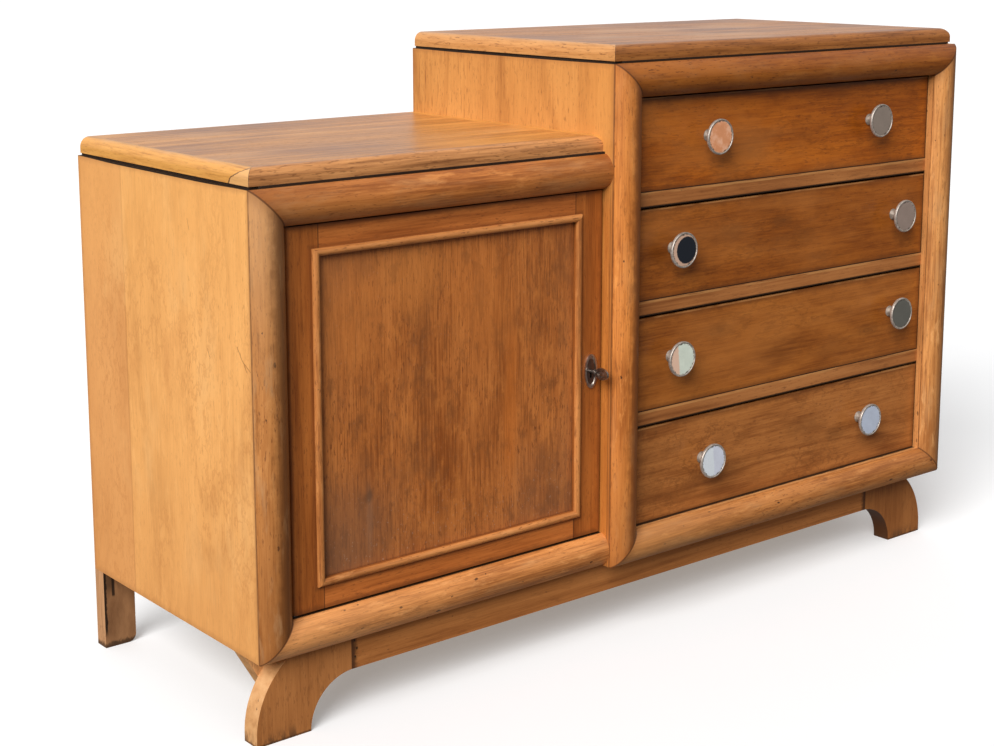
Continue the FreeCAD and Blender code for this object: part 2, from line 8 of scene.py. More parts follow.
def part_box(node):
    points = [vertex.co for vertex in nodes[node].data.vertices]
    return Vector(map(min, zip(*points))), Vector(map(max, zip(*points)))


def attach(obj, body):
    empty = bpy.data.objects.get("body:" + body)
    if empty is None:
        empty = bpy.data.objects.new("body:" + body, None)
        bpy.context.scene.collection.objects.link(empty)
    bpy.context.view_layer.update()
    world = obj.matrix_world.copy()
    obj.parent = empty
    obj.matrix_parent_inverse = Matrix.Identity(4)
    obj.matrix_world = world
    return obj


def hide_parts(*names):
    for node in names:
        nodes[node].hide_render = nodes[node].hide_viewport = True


# A stepped commode with one door and four drawers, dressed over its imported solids.
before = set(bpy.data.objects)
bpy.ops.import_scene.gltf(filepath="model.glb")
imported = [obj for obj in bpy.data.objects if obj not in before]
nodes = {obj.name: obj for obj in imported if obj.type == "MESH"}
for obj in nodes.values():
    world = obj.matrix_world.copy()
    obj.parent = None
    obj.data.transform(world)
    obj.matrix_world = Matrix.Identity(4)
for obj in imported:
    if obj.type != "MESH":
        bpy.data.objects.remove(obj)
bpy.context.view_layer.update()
scene = bpy.context.scene
MM = 0.001
DRAWERS = range(1, 5)


class Tree:
    """A short way to write the nodes of a material or of the world."""

    def __init__(self, owner, place="Object"):
        """Patterns are laid out by a place: where a point is at rest, in metres, unless another is named."""
        owner.use_nodes = True
        self.owner = owner
        self.tree = owner.node_tree
        self.tree.nodes.clear()
        self.place = self.node("ShaderNodeTexCoord").outputs[place]
        self.parts = self.split(self.place)
        self.x, self.y, self.z = self.parts
        self.colour = None

    def node(self, kind, **settings):
        made = self.tree.nodes.new(kind)
        for key, value in settings.items():
            setattr(made, key, value)
        return made

    def put(self, socket, value):
        """Links a socket to another one, or sets its number or its colour."""
        if isinstance(value, bpy.types.NodeSocket):
            self.tree.links.new(value, socket)
        elif isinstance(value, tuple):
            socket.default_value = (*value, 1)
        else:
            socket.default_value = value

    def split(self, vector):
        made = self.node("ShaderNodeSeparateXYZ")
        self.put(made.inputs[0], vector)
        return made.outputs

    def facing(self):
        """The surface's own direction, as three numbers."""
        return self.split(self.node("ShaderNodeTexCoord").outputs["Normal"])

    def calc(self, operation, a, b=0, c=0, clamp=False):
        made = self.node("ShaderNodeMath", operation=operation, use_clamp=clamp)
        for socket, value in zip(made.inputs, (a, b, c)):
            self.put(socket, value)
        return made.outputs[0]

    minus = partialmethod(calc, "SUBTRACT")
    times = partialmethod(calc, "MULTIPLY")
    times_plus = partialmethod(calc, "MULTIPLY_ADD")
    ratio = partialmethod(calc, "DIVIDE")
    least = partialmethod(calc, "MINIMUM")
    below = partialmethod(calc, "LESS_THAN")
    above = partialmethod(calc, "GREATER_THAN")

    def away(self, a, b):
        """The distance that two offsets at right angles make."""
        return self.calc("SQRT", self.times_plus(a, a, self.times(b, b)))

    def inside(self, value, low, high):
        """How far a value lies inside two limits. It is below zero outside them."""
        return self.least(self.minus(value, low), self.minus(high, value))

    def sway(self, value, wave, amount):
        """A value moved to and fro by a noise."""
        return self.times_plus(self.minus(wave, 0.5), amount, value)

    def between(self, value, low, high, at_low=0, at_high=1):
        """A value moved from one range to another, smoothly and clamped."""
        made = self.node("ShaderNodeMapRange", interpolation_type="SMOOTHSTEP")
        for socket, number in zip(made.inputs, (value, low, high, at_low, at_high)):
            self.put(socket, number)
        return made.outputs[0]

    def line(self, value, centre, half):
        """One where a value lies within half of a centre, fading just outside."""
        off = self.calc("ABSOLUTE", self.minus(value, centre))
        return self.between(off, half, half * 1.8, 1, 0)

    def stretched(self, stretch, shift):
        made = self.node("ShaderNodeMapping")
        self.put(made.inputs["Vector"], self.place)
        made.inputs["Scale"].default_value = stretch
        made.inputs["Location"].default_value = shift
        return made.outputs[0]

    def noise(self, stretch, shift=(0, 0, 0), detail=3, rough=0.55, bend=0):
        """Clouds of values about 0.5. Stretch says how many go to a metre along each axis."""
        made = self.node("ShaderNodeTexNoise")
        self.put(made.inputs["Vector"], self.stretched(stretch, shift))
        for key, value in (("Scale", 1), ("Detail", detail), ("Roughness", rough), ("Distortion", bend)):
            made.inputs[key].default_value = value
        return made.outputs[0]

    def high(self, stretch, shift, start, full, amount=1, detail=3, rough=0.6):
        """Patches where a noise is high: nothing up to the start, and the amount from full on."""
        return self.between(self.noise(stretch, shift, detail, rough), start, full, 0, amount)

    def cells(self, stretch, shift):
        """The distance to the nearest of scattered points, and a random colour for each point."""
        made = self.node("ShaderNodeTexVoronoi")
        self.put(made.inputs["Vector"], self.stretched(stretch, shift))
        made.inputs["Scale"].default_value = 1
        return made.outputs["Distance"], made.outputs["Color"]

    def ramp(self, value, stops):
        made = self.node("ShaderNodeValToRGB")
        points = made.color_ramp.elements
        while len(points) < len(stops):
            points.new(0.5)
        for point, (position, colour) in zip(points, stops):
            point.position = position
            point.color = (*colour, 1)
        self.put(made.inputs[0], value)
        return made.outputs[0]

    def mix(self, amount, a, b, blend="MIX"):
        made = self.node("ShaderNodeMix", data_type="RGBA", blend_type=blend)
        for index, value in ((0, amount), (6, a), (7, b)):
            self.put(made.inputs[index], value)
        return made.outputs[2]

    def tint(self, tone, mask, amount=None):
        """Mixes a tone into the colour where a mask is set."""
        mask = mask if amount is None else self.times(mask, amount)
        self.colour = self.mix(mask, self.colour, tone)

    def fade(self, tone, value, low, high, at_low, at_high=0):
        """Mixes a tone into the colour, by an amount that changes between two limits of a value."""
        self.tint(tone, self.between(value, low, high, at_low, at_high))

    def patches(self, tone, stretch, shift, start, full, amount, detail=5, rough=0.6):
        """Mixes a tone into the colour where a noise is high."""
        self.tint(tone, self.high(stretch, shift, start, full, amount, detail, rough))

    def finish(self, roughness, bump=None, metallic=0, coat=0, coat_roughness=0.2, specular=0.5, glow=0):
        """The surface itself. A bump is (height, depth in metres, strength)."""
        shader = self.node("ShaderNodeBsdfPrincipled")
        values = {"Base Color": self.colour, "Roughness": roughness, "Metallic": metallic,
                  "Specular IOR Level": specular, "Coat Weight": coat, "Coat Roughness": coat_roughness,
                  "Emission Strength": glow}
        for key, value in values.items():
            self.put(shader.inputs[key], value)
        if bump:
            made = self.node("ShaderNodeBump")
            for key, value in zip(("Height", "Distance", "Strength"), bump):
                self.put(made.inputs[key], value)
            self.put(shader.inputs["Normal"], made.outputs[0])
        self.put(self.node("ShaderNodeOutputMaterial").inputs["Surface"], shader.outputs[0])
        return self.owner


def along(grain, across, length):
    """Three scales, one of them along the grain."""
    return tuple(length if axis == grain else across for axis in "XYZ")


def even(scale):
    """Three equal scales."""
    return (scale, scale, scale)


def scaled(tone, red, green, blue):
    """A colour with each of its parts multiplied."""
    return (tone[0] * red, tone[1] * green, tone[2] * blue)


def worm_holes(t, grain, shift):
    """Worm holes and little knocks: few, ragged and of different sizes."""
    ragged = t.noise(even(400), detail=2)
    far, lot = t.cells(along(grain, 95, 48), shift)
    chance, measure, _ = t.split(lot)
    size = t.times_plus(t.calc("POWER", measure, 2.5), 0.16, 0.02)
    hole = t.between(t.minus(t.sway(far, ragged, 0.22), size), 0, 0.06, 1, 0)
    return t.times(hole, t.below(chance, 0.22))


def wood(name, grain, tone, seed, contrast, figure=0.35, figure_size=9, figure_length=0.1, rings=7,
         curl=2, curl_rate=8, streaks=0.8, streak_rate=4.5, fibre=0.5, blotch=0.5, pores=0.5, specks=0,
         stains=0, scuffs=0, rough=0.4, coat=0.12, specular=0.35, place=None, layers=None):
    """Lacquered wood. Rings, streaks and pores all run along the grain, at their real size.

    Figure, streaks, fibre and blotch say how much the rings, the lines along the grain, the finest lines and
    the clouds count. Pores, specks, stains and scuffs are amounts from 0 to 1. Place may give the patterns
    other coordinates, and layers paint what a piece has of its own.
    """
    t = Tree(bpy.data.materials.new(name))
    if place:
        t.place = place(t)
    shift = (seed * 1.37, seed * 2.11, seed * 0.73)
    other = (shift[1] + 3, shift[2] + 1, shift[0] + 2)
    # slow waves in the wood, whose contour lines are the year rings
    slow = t.noise(along(grain, figure_size, figure_size * figure_length), shift, 1.5, 0.45, 0.5)
    wobble = t.noise(along(grain, 110, curl_rate), shift)
    band = t.calc("SINE", t.times_plus(slow, rings * math.tau, t.times(wobble, curl)))
    band = t.calc("POWER", t.times_plus(band, 0.5, 0.5), 2)
    streak = t.noise(along(grain, 170, streak_rate), other, 5, 0.62)
    fine = t.noise(along(grain, 520, 16), shift, 3, 0.62)
    cloud = t.noise(along(grain, 8, 3.5), shift, 4)
    level = t.times_plus(t.minus(band, 0.38), figure, 0.5)
    for part, amount in ((streak, streaks), (fine, fibre), (cloud, blotch)):
        level = t.sway(level, part, amount * 1.8)
    dark = scaled(tone, 1 - 0.5 * contrast, 1 - 0.6 * contrast, 1 - 0.68 * contrast)
    light = scaled(tone, 1 + 0.3 * contrast, 1 + 0.42 * contrast, 1 + 0.55 * contrast)
    t.colour = t.ramp(level, [(0, dark), (0.5, tone), (1, light)])
    # open pores, short and dark, gathered in some places
    cut = t.high(along(grain, 460, 85), other, 0.585, 0.68, detail=2.5)
    pore = t.times(cut, t.between(cloud, 0.36, 0.62, 0.35, 1))
    t.tint(scaled(tone, 0.34, 0.26, 0.22), pore, pores)
    relief = t.times_plus(pore, -1, t.times(streak, 0.6))
    if specks:
        hole = worm_holes(t, grain, shift)
        t.tint((0.05, 0.018, 0.008), hole, specks)
        relief = t.times_plus(hole, -2, relief)
    if stains:
        # longer dark stains along the grain
        stained = scaled(tone, 0.3, 0.25, 0.24)
        t.patches(stained, along(grain, 95, 20), shift, 0.56, 0.74, stains, 4, 0.7)
    if scuffs:
        # paler places where the finish is rubbed
        rubbed = scaled(tone, 1.45, 1.75, 2.2)
        t.patches(rubbed, along(grain, 75, 20), other, 0.54, 0.7, scuffs, 4.5, 0.68)
    if layers:
        layers(t)
    shine = t.times_plus(pore, 0.14, t.sway(rough, cloud, 0.2), clamp=True)
    return t.finish(shine, (relief, 0.00025, 0.4), coat=coat, coat_roughness=0.25, specular=specular)


def raw_wood(name, grain, tone, seed, layers=None):
    """Unpolished inside timber: dull, dusty and plain."""
    return wood(name, grain, tone, seed, contrast=0.7, figure=0.3, pores=0.3, stains=0.35, rough=0.7, coat=0,
                specular=0.2, layers=layers)


def edge_gap(t, corner, far_corner, axes):
    """How far a point is from the nearest edge of a board, given two of its corners."""
    return t.least(*(t.inside(t.parts[i], corner[i], far_corner[i]) for i in map("XYZ".index, axes)))


def edge_grime_and_shade(t, tone, corner, far_corner, axes, reach, amount):
    """Dirt that gathers unevenly along the edges of a board; inside the door's bead it also stands for
    painted shade.
    """
    ragged = t.noise(even(60), detail=4, rough=0.65)
    limit = t.times_plus(ragged, reach * 1.6, reach * 0.2)
    near = t.ratio(edge_gap(t, corner, far_corner, axes), limit)
    t.fade(tone, near, 0, 1, amount)


def squiggles(t, tone, stretch, amount):
    """Short wavy lines of figure, gathered in patches: the contours of a fine noise."""
    wave = t.noise(stretch, (5, 3, 2), 4, 0.6)
    contour = t.between(t.calc("ABSOLUTE", t.minus(wave, 0.5)), 0, 0.048, 1, 0)
    patch = t.high(scaled(stretch, 0.16, 0.16, 0.16), (1, 6, 4), 0.42, 0.6, 1, 2, 0.55)
    t.tint(tone, t.times(contour, patch), amount)


def spot(t, x, z, wide, tall, bend=1.2):
    """How far a point of a front is from a mark on it, in half sizes of the mark, with a ragged outline."""
    across = t.ratio(t.minus(t.x, x), wide)
    up = t.ratio(t.minus(t.z, z), tall)
    ragged = t.noise((0.55 / wide, 1, 0.55 / tall))
    return t.sway(t.away(across, up), ragged, bend)


def outwards(t):
    """How far a surface faces away from the middle of the case, from -1 to 1."""
    return t.times(t.facing()[0], t.calc("SIGN", t.x))


def dress(names, ease, finish, steps=2):
    """Gives solids a finish and rounds their sharp edges by a number of millimetres."""
    for name in names:
        solid = nodes[name]
        solid.data.materials.clear()
        solid.data.materials.append(finish)
        bevel = solid.modifiers.new("eased_edges", "BEVEL")
        bevel.width = ease * MM
        bevel.segments = steps
        bevel.limit_method = "ANGLE"
        bevel.angle_limit = math.radians(34)


# Sides
side_low, side_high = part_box("low_side_panel")
tall_low, tall_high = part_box("tall_left_panel")
low_top_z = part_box("low_top")[1].z
REAR_LEAF = 0.124
# Scratches on the low side: where each starts and ends, as (y, z), and half its width
SIDE_SCRATCHES = [
    ((-0.172, 0.515), (-0.194, 0.487), 0.0007),
    ((-0.186, 0.497), (-0.203, 0.489), 0.0006),
    ((-0.058, 0.66), (-0.062, 0.645), 0.0006),
    ((-0.1, 0.5), (-0.106, 0.488), 0.0005),
]


def scratch(t, start, end, half):
    """One thin dark line between two points of a side panel."""
    length = math.dist(start, end)
    run_y = (end[0] - start[0]) / length
    run_z = (end[1] - start[1]) / length
    from_y = t.minus(t.y, start[0])
    from_z = t.minus(t.z, start[1])
    on = t.times_plus(from_y, run_y, t.times(from_z, run_z))
    off = t.times_plus(from_y, -run_z, t.times(from_z, run_y))
    off = t.sway(off, t.noise(even(150), detail=2), half * 5)
    within = t.times(t.above(on, 0), t.below(on, length))
    t.tint((0.22, 0.08, 0.025), t.times(t.line(off, 0, half), within), 0.55)


def slit(t, low, high, narrow, wide):
    """Painted shadow: the black slit between a side and its top, widest in the middle."""
    depth = t.between(t.inside(t.y, low.y, high.y), 0, 0.12, narrow, wide)
    under = t.minus(t.minus(high.z, t.z), depth)
    t.fade((0.006, 0.003, 0.002), under, -0.0004, 0.0004, 0.98)


def side_layers(t):
    """A redder leaf of veneer at the back, its joint, rubbed patches, scratches and grime along the edges."""
    wave = t.noise((20, 20, 3), detail=2)
    past_joint = t.minus(t.y, t.sway(side_high.y - REAR_LEAF, wave, 0.004))
    t.fade((0.6, 0.235, 0.08), past_joint, -0.0012, 0.0012, 0, 0.42)
    t.fade((0.42, 0.16, 0.045), t.calc("ABSOLUTE", past_joint), 0.0008, 0.0026, 0.38)
    t.patches((0.9, 0.5, 0.19), (11, 11, 5), (3, 0, 1), 0.54, 0.72, 0.4)
    t.patches((0.62, 0.25, 0.07), (14, 14, 7), (8, 2, 5), 0.56, 0.74, 0.38)
    for mark in SIDE_SCRATCHES:
        scratch(t, *mark)
    # a dark line at the joint with the post moulding, partly painted shade
    t.fade((0.16, 0.06, 0.02), t.minus(t.y, side_low.y), 0.0012, 0.0026, 0.75)
    squiggles(t, (0.55, 0.215, 0.058), (58, 58, 30), 0.4)
    # brighter towards the top and duller towards the floor
    t.fade((0.95, 0.46, 0.125), t.z, 0.45, 0.72, 0, 0.3)
    t.fade((0.64, 0.27, 0.08), t.z, 0.114, 0.36, 0.3)
    edge_grime_and_shade(t, (0.4, 0.16, 0.05), side_low, side_high, "YZ", 0.01, 0.4)
    slit(t, side_low, side_high, 0.0004, 0.0021)


def strip_beside_door(t, from_front):
    """A redder wood with upright lines and the joint of its front edge."""
    lines = t.noise((1, 640, 9), (0, 2, 3), 4, 0.65)
    lined = t.ramp(lines, [(0.3, (0.62, 0.44, 0.3)), (0.62, (0.9, 0.76, 0.62))])
    strip = t.mix(1, t.colour, lined, "MULTIPLY")
    strip = t.mix(t.high((60, 160, 40), (2, 0, 6), 0.55, 0.68, 0.5), strip, (0.36, 0.1, 0.016))
    joint = t.line(t.times_plus(lines, 0.0008, from_front), 0.0062, 0.0005)
    return t.mix(t.times(joint, 0.7), strip, (0.14, 0.04, 0.008))


def tall_side_layers(t):
    """Short upright flecks, thickest near the back, a brighter front edge and the strip beside the door."""
    from_front = t.minus(t.y, tall_low.y)
    fleck = t.high((120, 260, 26), (1, 4, 0), 0.58, 0.7, detail=2)
    rear = t.between(t.y, -0.2, 0.24, 0.3, 1)
    t.tint((0.28, 0.09, 0.02), fleck, t.times(rear, 0.6))
    t.fade((0.8, 0.32, 0.07), t.y, -0.2, -0.12, 0.4)
    # a dark line at the joint with the post moulding, partly painted shade
    t.fade((0.14, 0.05, 0.015), from_front, 0.0012, 0.0026, 0.8)
    t.fade(strip_beside_door(t, from_front), t.z, low_top_z - 0.13, low_top_z - 0.03, 1)
    edge_grime_and_shade(t, (0.34, 0.13, 0.04), tall_low, tall_high, "YZ", 0.01, 0.4)
    slit(t, tall_low, tall_high, 0.0006, 0.0014)


dress(["low_side_panel"], 0.6, wood(
    "honey_veneer_side", "Z", (0.83, 0.392, 0.119), seed=1, contrast=0.42, figure=-0.26, figure_size=6,
    figure_length=0.24, rings=8, curl=5, curl_rate=55, streaks=0.26, streak_rate=20, fibre=0.55, blotch=0.85,
    pores=0.36, scuffs=0.14, rough=0.46, layers=side_layers))
dress(["tall_left_panel"], 0.6, wood(
    "honey_veneer_tall_side", "Z", (0.575, 0.245, 0.061), seed=4, contrast=0.55, figure=-0.4, figure_size=7,
    figure_length=0.2, rings=8, curl=3, curl_rate=24, streaks=0.4, streak_rate=12, blotch=0.7, rough=0.44,
    layers=tall_side_layers))
dress(["tall_right_panel"], 0.6, wood(
    "honey_veneer_far_side", "Z", (0.72, 0.32, 0.095), seed=8, contrast=0.5, figure=0.4, figure_size=7,
    pores=0.35, rough=0.46))

# Tops, with a lipping along their rounded edges
LIP = 0.016
TOP = dict(contrast=1.1, figure=0.4, figure_size=8, rings=6, streaks=0.9, blotch=0.7, rough=0.32,
           specular=0.37)


def side_lipping(t, tone, flecks):
    """Paler wood whose grain runs from front to back."""
    lines = t.noise((260, 16, 260), (2, 0, 0), 5, 0.68)
    dark, light = scaled(tone, 0.72, 0.64, 0.56), scaled(tone, 1.15, 1.22, 1.3)
    pale = t.ramp(lines, [(0.3, dark), (0.5, tone), (0.72, light)])
    fleck = t.high((420, 70, 420), (0, 5, 0), 0.58, 0.69, flecks, 2)
    return t.mix(fleck, pale, scaled(tone, 0.36, 0.28, 0.24))


def front_lipping(t, tone):
    """Browner wood whose grain runs along the front."""
    lines = t.noise((9, 240, 240), (0, 3, 0), 5, 0.62)
    dark, light = scaled(tone, 0.45, 0.4, 0.36), scaled(tone, 1.35, 1.5, 1.6)
    brown = t.ramp(lines, [(0.28, dark), (0.52, tone), (0.75, light)])
    fleck = t.high((70, 420, 420), (4, 0, 2), 0.57, 0.67, 0.6, 2)
    return t.mix(fleck, brown, scaled(tone, 0.3, 0.24, 0.2))


def glued_corner(t, climb, from_front, near):
    """A broken and glued corner: the crack climbs from the underside towards the corner."""
    jag = t.noise((1, 70, 200), rough=0.6)
    crack = t.times_plus(t.calc("POWER", climb, 1.6), -0.04, 0.047)
    off = t.minus(from_front, t.sway(crack, jag, 0.012))
    t.tint((0.76, 0.44, 0.2), t.between(off, 0, 0.001, 0.45, 0), near)
    t.tint((0.09, 0.035, 0.012), t.times(t.line(off, 0, 0.0012), near), 0.85)


def top_layers(node, side_tone, front_tone, flecks, cracked=False):
    """Lippings at the ends and along the front, the joints beside them, and a rubbed upper face."""
    low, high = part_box(node)

    def layers(t):
        level = t.between(t.facing()[2], 0.75, 0.9)
        from_left = t.minus(t.x, low.x)
        from_right = t.minus(high.x, t.x)
        from_front = t.minus(t.y, low.y)
        from_end = t.least(from_left, from_right)
        on_left = t.below(from_left, from_front)
        left_lip = t.times(t.below(from_left, LIP), on_left)
        right_lip = t.times(t.below(from_right, LIP), t.below(from_right, from_front))
        side_lip = t.calc("MAXIMUM", left_lip, right_lip)
        t.tint(side_lipping(t, side_tone, flecks), side_lip)
        front_lip = t.times(t.below(from_front, LIP), t.below(from_front, from_end))
        t.tint(front_lipping(t, front_tone), front_lip)
        joint = t.times(t.line(t.least(from_end, from_front), LIP, 0.0005), level)
        t.tint((0.2, 0.075, 0.025), joint, 0.35)
        mitre = t.times(t.line(t.minus(from_left, from_front), 0, 0.0004), t.below(from_left, LIP))
        t.tint((0.1, 0.04, 0.015), mitre, 0.75)
        if cracked:
            climb = t.ratio(t.minus(t.z, low.z), high.z - low.z, clamp=True)
            near = t.times(t.below(from_left, LIP * 1.1), on_left)
            glued_corner(t, climb, from_front, near)
        wear = t.high((5, 9, 5), (1, 7, 0), 0.48, 0.7, 0.55, 5, 0.62)
        t.tint((0.66, 0.33, 0.135), wear, level)

    return layers


low_top_layers = top_layers("low_top", (0.7, 0.32, 0.07), (0.6, 0.255, 0.085), 0.28, cracked=True)
tall_top_layers = top_layers("tall_top", (0.6, 0.27, 0.082), (0.36, 0.124, 0.027), 0.75)
dress(["low_top"], 0.6, wood(
    "top_veneer_low", "X", (0.58, 0.236, 0.052), seed=2, layers=low_top_layers, **TOP))
dress(["tall_top"], 0.6, wood(
    "top_veneer_tall", "X", (0.44, 0.16, 0.034), seed=6, pores=0.55, layers=tall_top_layers, **TOP))

# Mouldings
MOULDING = dict(contrast=0.85, figure=0.25, figure_size=14, rings=3, streaks=0.75, streak_rate=11, fibre=0.75,
                blotch=1, pores=0.75, specks=0.9, stains=0.6, scuffs=0.5, rough=0.38, coat=0.15)
# Painted shade with grime on a moulding: its side, its ragged and its least reach, and the share of that
# which is solid.
# It lies on the shaded side, away from the light: on the right of a post and on the underside of a bar.
POST_SHADE_AND_DIRT = ("high", 0.036, 0.017, 0.45)
BAR_SHADE_AND_DIRT = ("low", 0.022, 0.004, 0)
MOULDING_LOOKS = {
    "low_post_moulding": dict(
        grain="Z", tone=(0.44, 0.165, 0.042), seed=3, dirt_and_shade=0.66, worn=0.6, corner="low",
        shades=[(0.5, 1, 0.45, (0.68, 0.39, 0.18)), (0.5, 0, 0.5, (0.24, 0.083, 0.02))]),
    "low_top_moulding": dict(
        grain="X", tone=(0.58, 0.192, 0.042), seed=5, dirt_and_shade=0.45, worn=0.25, corner="high", ends=["low"],
        shades=[(0.5, 0, 0.55, (0.24, 0.075, 0.015)), (0.6, 1, 0.35, (0.24, 0.075, 0.015))]),
    "low_bottom_moulding": dict(
        grain="X", tone=(0.68, 0.258, 0.07), seed=35, dirt_and_shade=0.05, worn=0.25, corner="low", ends=["low"],
        shades=[(0.7, 0, 0.25, (1, 0.5, 0.2))]),
    "middle_post_moulding": dict(
        grain="Z", tone=(0.62, 0.207, 0.042), seed=37, dirt_and_shade=0.85, worn=0.15, corner="low",
        shades=[(0.36, 0.04, 0.62, (0.3, 0.095, 0.02)), (0.7, 1, 0.3, (0.36, 0.12, 0.028))]),
    "right_post_moulding": dict(
        grain="Z", tone=(0.65, 0.272, 0.08), seed=39, dirt_and_shade=0.35, worn=0.35, corner="high"),
    "tall_top_moulding": dict(
        grain="X", tone=(0.315, 0.087, 0.0095), seed=41, dirt_and_shade=0.6, worn=0.1, corner="high"),
    "tall_bottom_moulding": dict(
        grain="X", tone=(0.49, 0.178, 0.044), seed=43, dirt_and_shade=0.05, worn=0.25, corner="low",
        shades=[(0.45, 0, 0.45, (0.82, 0.37, 0.12))]),
}


def moulding(node, grain, tone, seed, dirt_and_shade, worn, corner, ends=("low", "high"), shades=()):
    """A half-round moulding: darkened along one edge by grime and painted shade, with open mitres at the ends
    that are named.

    The corner says on which side of the moulding the frame's outer corners are. A shade is
    (start, full, amount, tone): a tint that grows between two shares of the moulding's length.
    """
    low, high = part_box(node)
    upright = grain == "Z"
    across, length = (0, 2) if upright else (2, 0)
    shaded_dirty_side, ragged_reach, least_reach, full_share = POST_SHADE_AND_DIRT if upright else BAR_SHADE_AND_DIRT

    def layers(t):
        def from_side(axis, side):
            part = t.parts[axis]
            return t.minus(part, low[axis]) if side == "low" else t.minus(high[axis], part)

        share = t.ratio(from_side(length, "low"), high[length] - low[length])
        for start, full, amount, shade in shades:
            t.fade(shade, share, start, full, 0, amount)
        ragged = t.noise(even(50), detail=4, rough=0.65)
        shade_and_dirt_share = t.ratio(from_side(across, shaded_dirty_side), t.times_plus(ragged, ragged_reach, least_reach))
        # painted shade with grime, on the side away from the light
        t.fade(scaled(tone, 0.36, 0.3, 0.26), shade_and_dirt_share, full_share, 1, dirt_and_shade)
        t.patches((0.5, 0.265, 0.115), along(grain, 40, 9), (seed, 1, 4), 0.5, 0.68, worn, rough=0.65)
        if upright:
            # the seam beside the panel that the post is planted on
            seam = t.between(t.minus(high.y, t.y), 0.0006, 0.002, 0.8, 0)
            t.tint((0.1, 0.035, 0.012), seam, t.between(ragged, 0.35, 0.55, 0.4, 1))
        for end in ends:
            # the mitre is a line at 45 degrees from the outer corner of the frame
            off = t.minus(from_side(length, end), from_side(across, corner))
            t.fade((0.06, 0.022, 0.008), off, 0.0008, 0.0024, 0.85)
            t.fade(scaled(tone, 0.45, 0.38, 0.34), off, 0, 0.022, 0.35)

    return wood(f"moulding_wood_of_{node}", grain, tone, seed, layers=layers, **MOULDING)


for node, look in MOULDING_LOOKS.items():
    dress([node], 0.6, moulding(node, **look))

# Door
door_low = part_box("door_left_stile")[0]
door_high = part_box("door_right_stile")[1]
bead_low, bead_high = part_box("door_bead")
panel_wide, _, panel_tall = bead_high - bead_low
plate_low, plate_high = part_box("escutcheon")
plate_wide, _, plate_tall = plate_high - plate_low
key_x, _, key_z = (plate_low + plate_high) / 2
BEAD_WIDTH = 0.01
PANEL_INSET = Vector((0.009, 0, 0.009))
KEYHOLE = (0.005, 0.013)
# Marks on the panel: where, in shares of its width and height, half sizes in metres, amount and tone
DOOR_MARKS = [
    (0.72, 0.42, 0.014, 0.14, 0.55, (0.62, 0.17, 0.025)),
    (0.6, 0.78, 0.06, 0.09, 0.45, (0.62, 0.19, 0.036)),
    (0.36, 0.88, 0.06, 0.06, 0.45, (0.62, 0.21, 0.042)),
    (0.14, 0.8, 0.07, 0.1, 0.4, (0.64, 0.21, 0.045)),
    (0.12, 0.12, 0.1, 0.1, 0.4, (0.2, 0.095, 0.05)),
    (0.19, 0.235, 0.007, 0.013, 0.8, (0.13, 0.05, 0.02)),
    (0.19, 0.16, 0.006, 0.05, 0.2, (0.46, 0.24, 0.13)),
]


def along_bead(t):
    """The place of a point, with X and Z exchanged on the upright beads so that grain follows each bead."""
    from_end = t.inside(t.z, bead_low.z, bead_high.z)
    upright = t.below(t.inside(t.x, bead_low.x, bead_high.x), from_end)
    level = t.minus(1, upright)
    made = t.node("ShaderNodeCombineXYZ")
    t.put(made.inputs[0], t.times_plus(t.x, level, t.times(t.z, upright)))
    t.put(made.inputs[1], t.y)
    t.put(made.inputs[2], t.times_plus(t.z, level, t.times(t.x, upright)))
    return made.outputs[0]


def panel_spot(t, x, z, wide, tall, bend=1.2):
    """A spot on the door's panel, with its place as shares of the panel's width and height."""
    return spot(t, bead_low.x + panel_wide * x, bead_low.z + panel_tall * z, wide, tall, bend)


def door_panel_layers(t):
    """Greyed and worn towards the edges, warmer in the middle, with a knot, a bright streak and dark runs."""
    t.patches((0.19, 0.055, 0.012), (230, 230, 24), (0, 0, 6), 0.5, 0.66, 0.5, 4, 0.65)
    mottle = t.noise((46, 46, 26), (3, 1, 7), 5, 0.7)
    t.fade((0.22, 0.07, 0.018), mottle, 0.52, 0.68, 0, 0.55)
    t.fade((0.66, 0.22, 0.045), mottle, 0.3, 0.47, 0.55)
    t.patches((0.2, 0.068, 0.021), (17, 17, 9), (6, 0, 2), 0.5, 0.68, 0.5, rough=0.62)
    mist = t.noise((9, 9, 5), (2, 0, 3), 4, 0.6)
    from_middle = panel_spot(t, 0.52, 0.6, panel_wide * 0.62, panel_tall * 0.62, 0.9)
    t.fade((0.27, 0.114, 0.052), t.sway(from_middle, mist, 0.9), 0.6, 1.3, 0, 0.55)
    for x, z, wide, tall, amount, tone in DOOR_MARKS:
        t.fade(tone, panel_spot(t, x, z, wide, tall), 0.2, 1.3, amount)
    # light dust, thickest near the bottom
    dust = t.high((330, 330, 260), (4, 1, 0), 0.64, 0.72, detail=2)
    height = t.ratio(t.minus(t.z, bead_low.z), panel_tall)
    settled = t.between(height, 0, 0.35, 0.6, 0.12)
    t.tint((0.5, 0.32, 0.22), dust, settled)
    # grime and painted shade along the inside of the bead
    edge_grime_and_shade(t, (0.09, 0.03, 0.01), bead_low + PANEL_INSET, bead_high - PANEL_INSET, "XZ", 0.0045, 0.65)


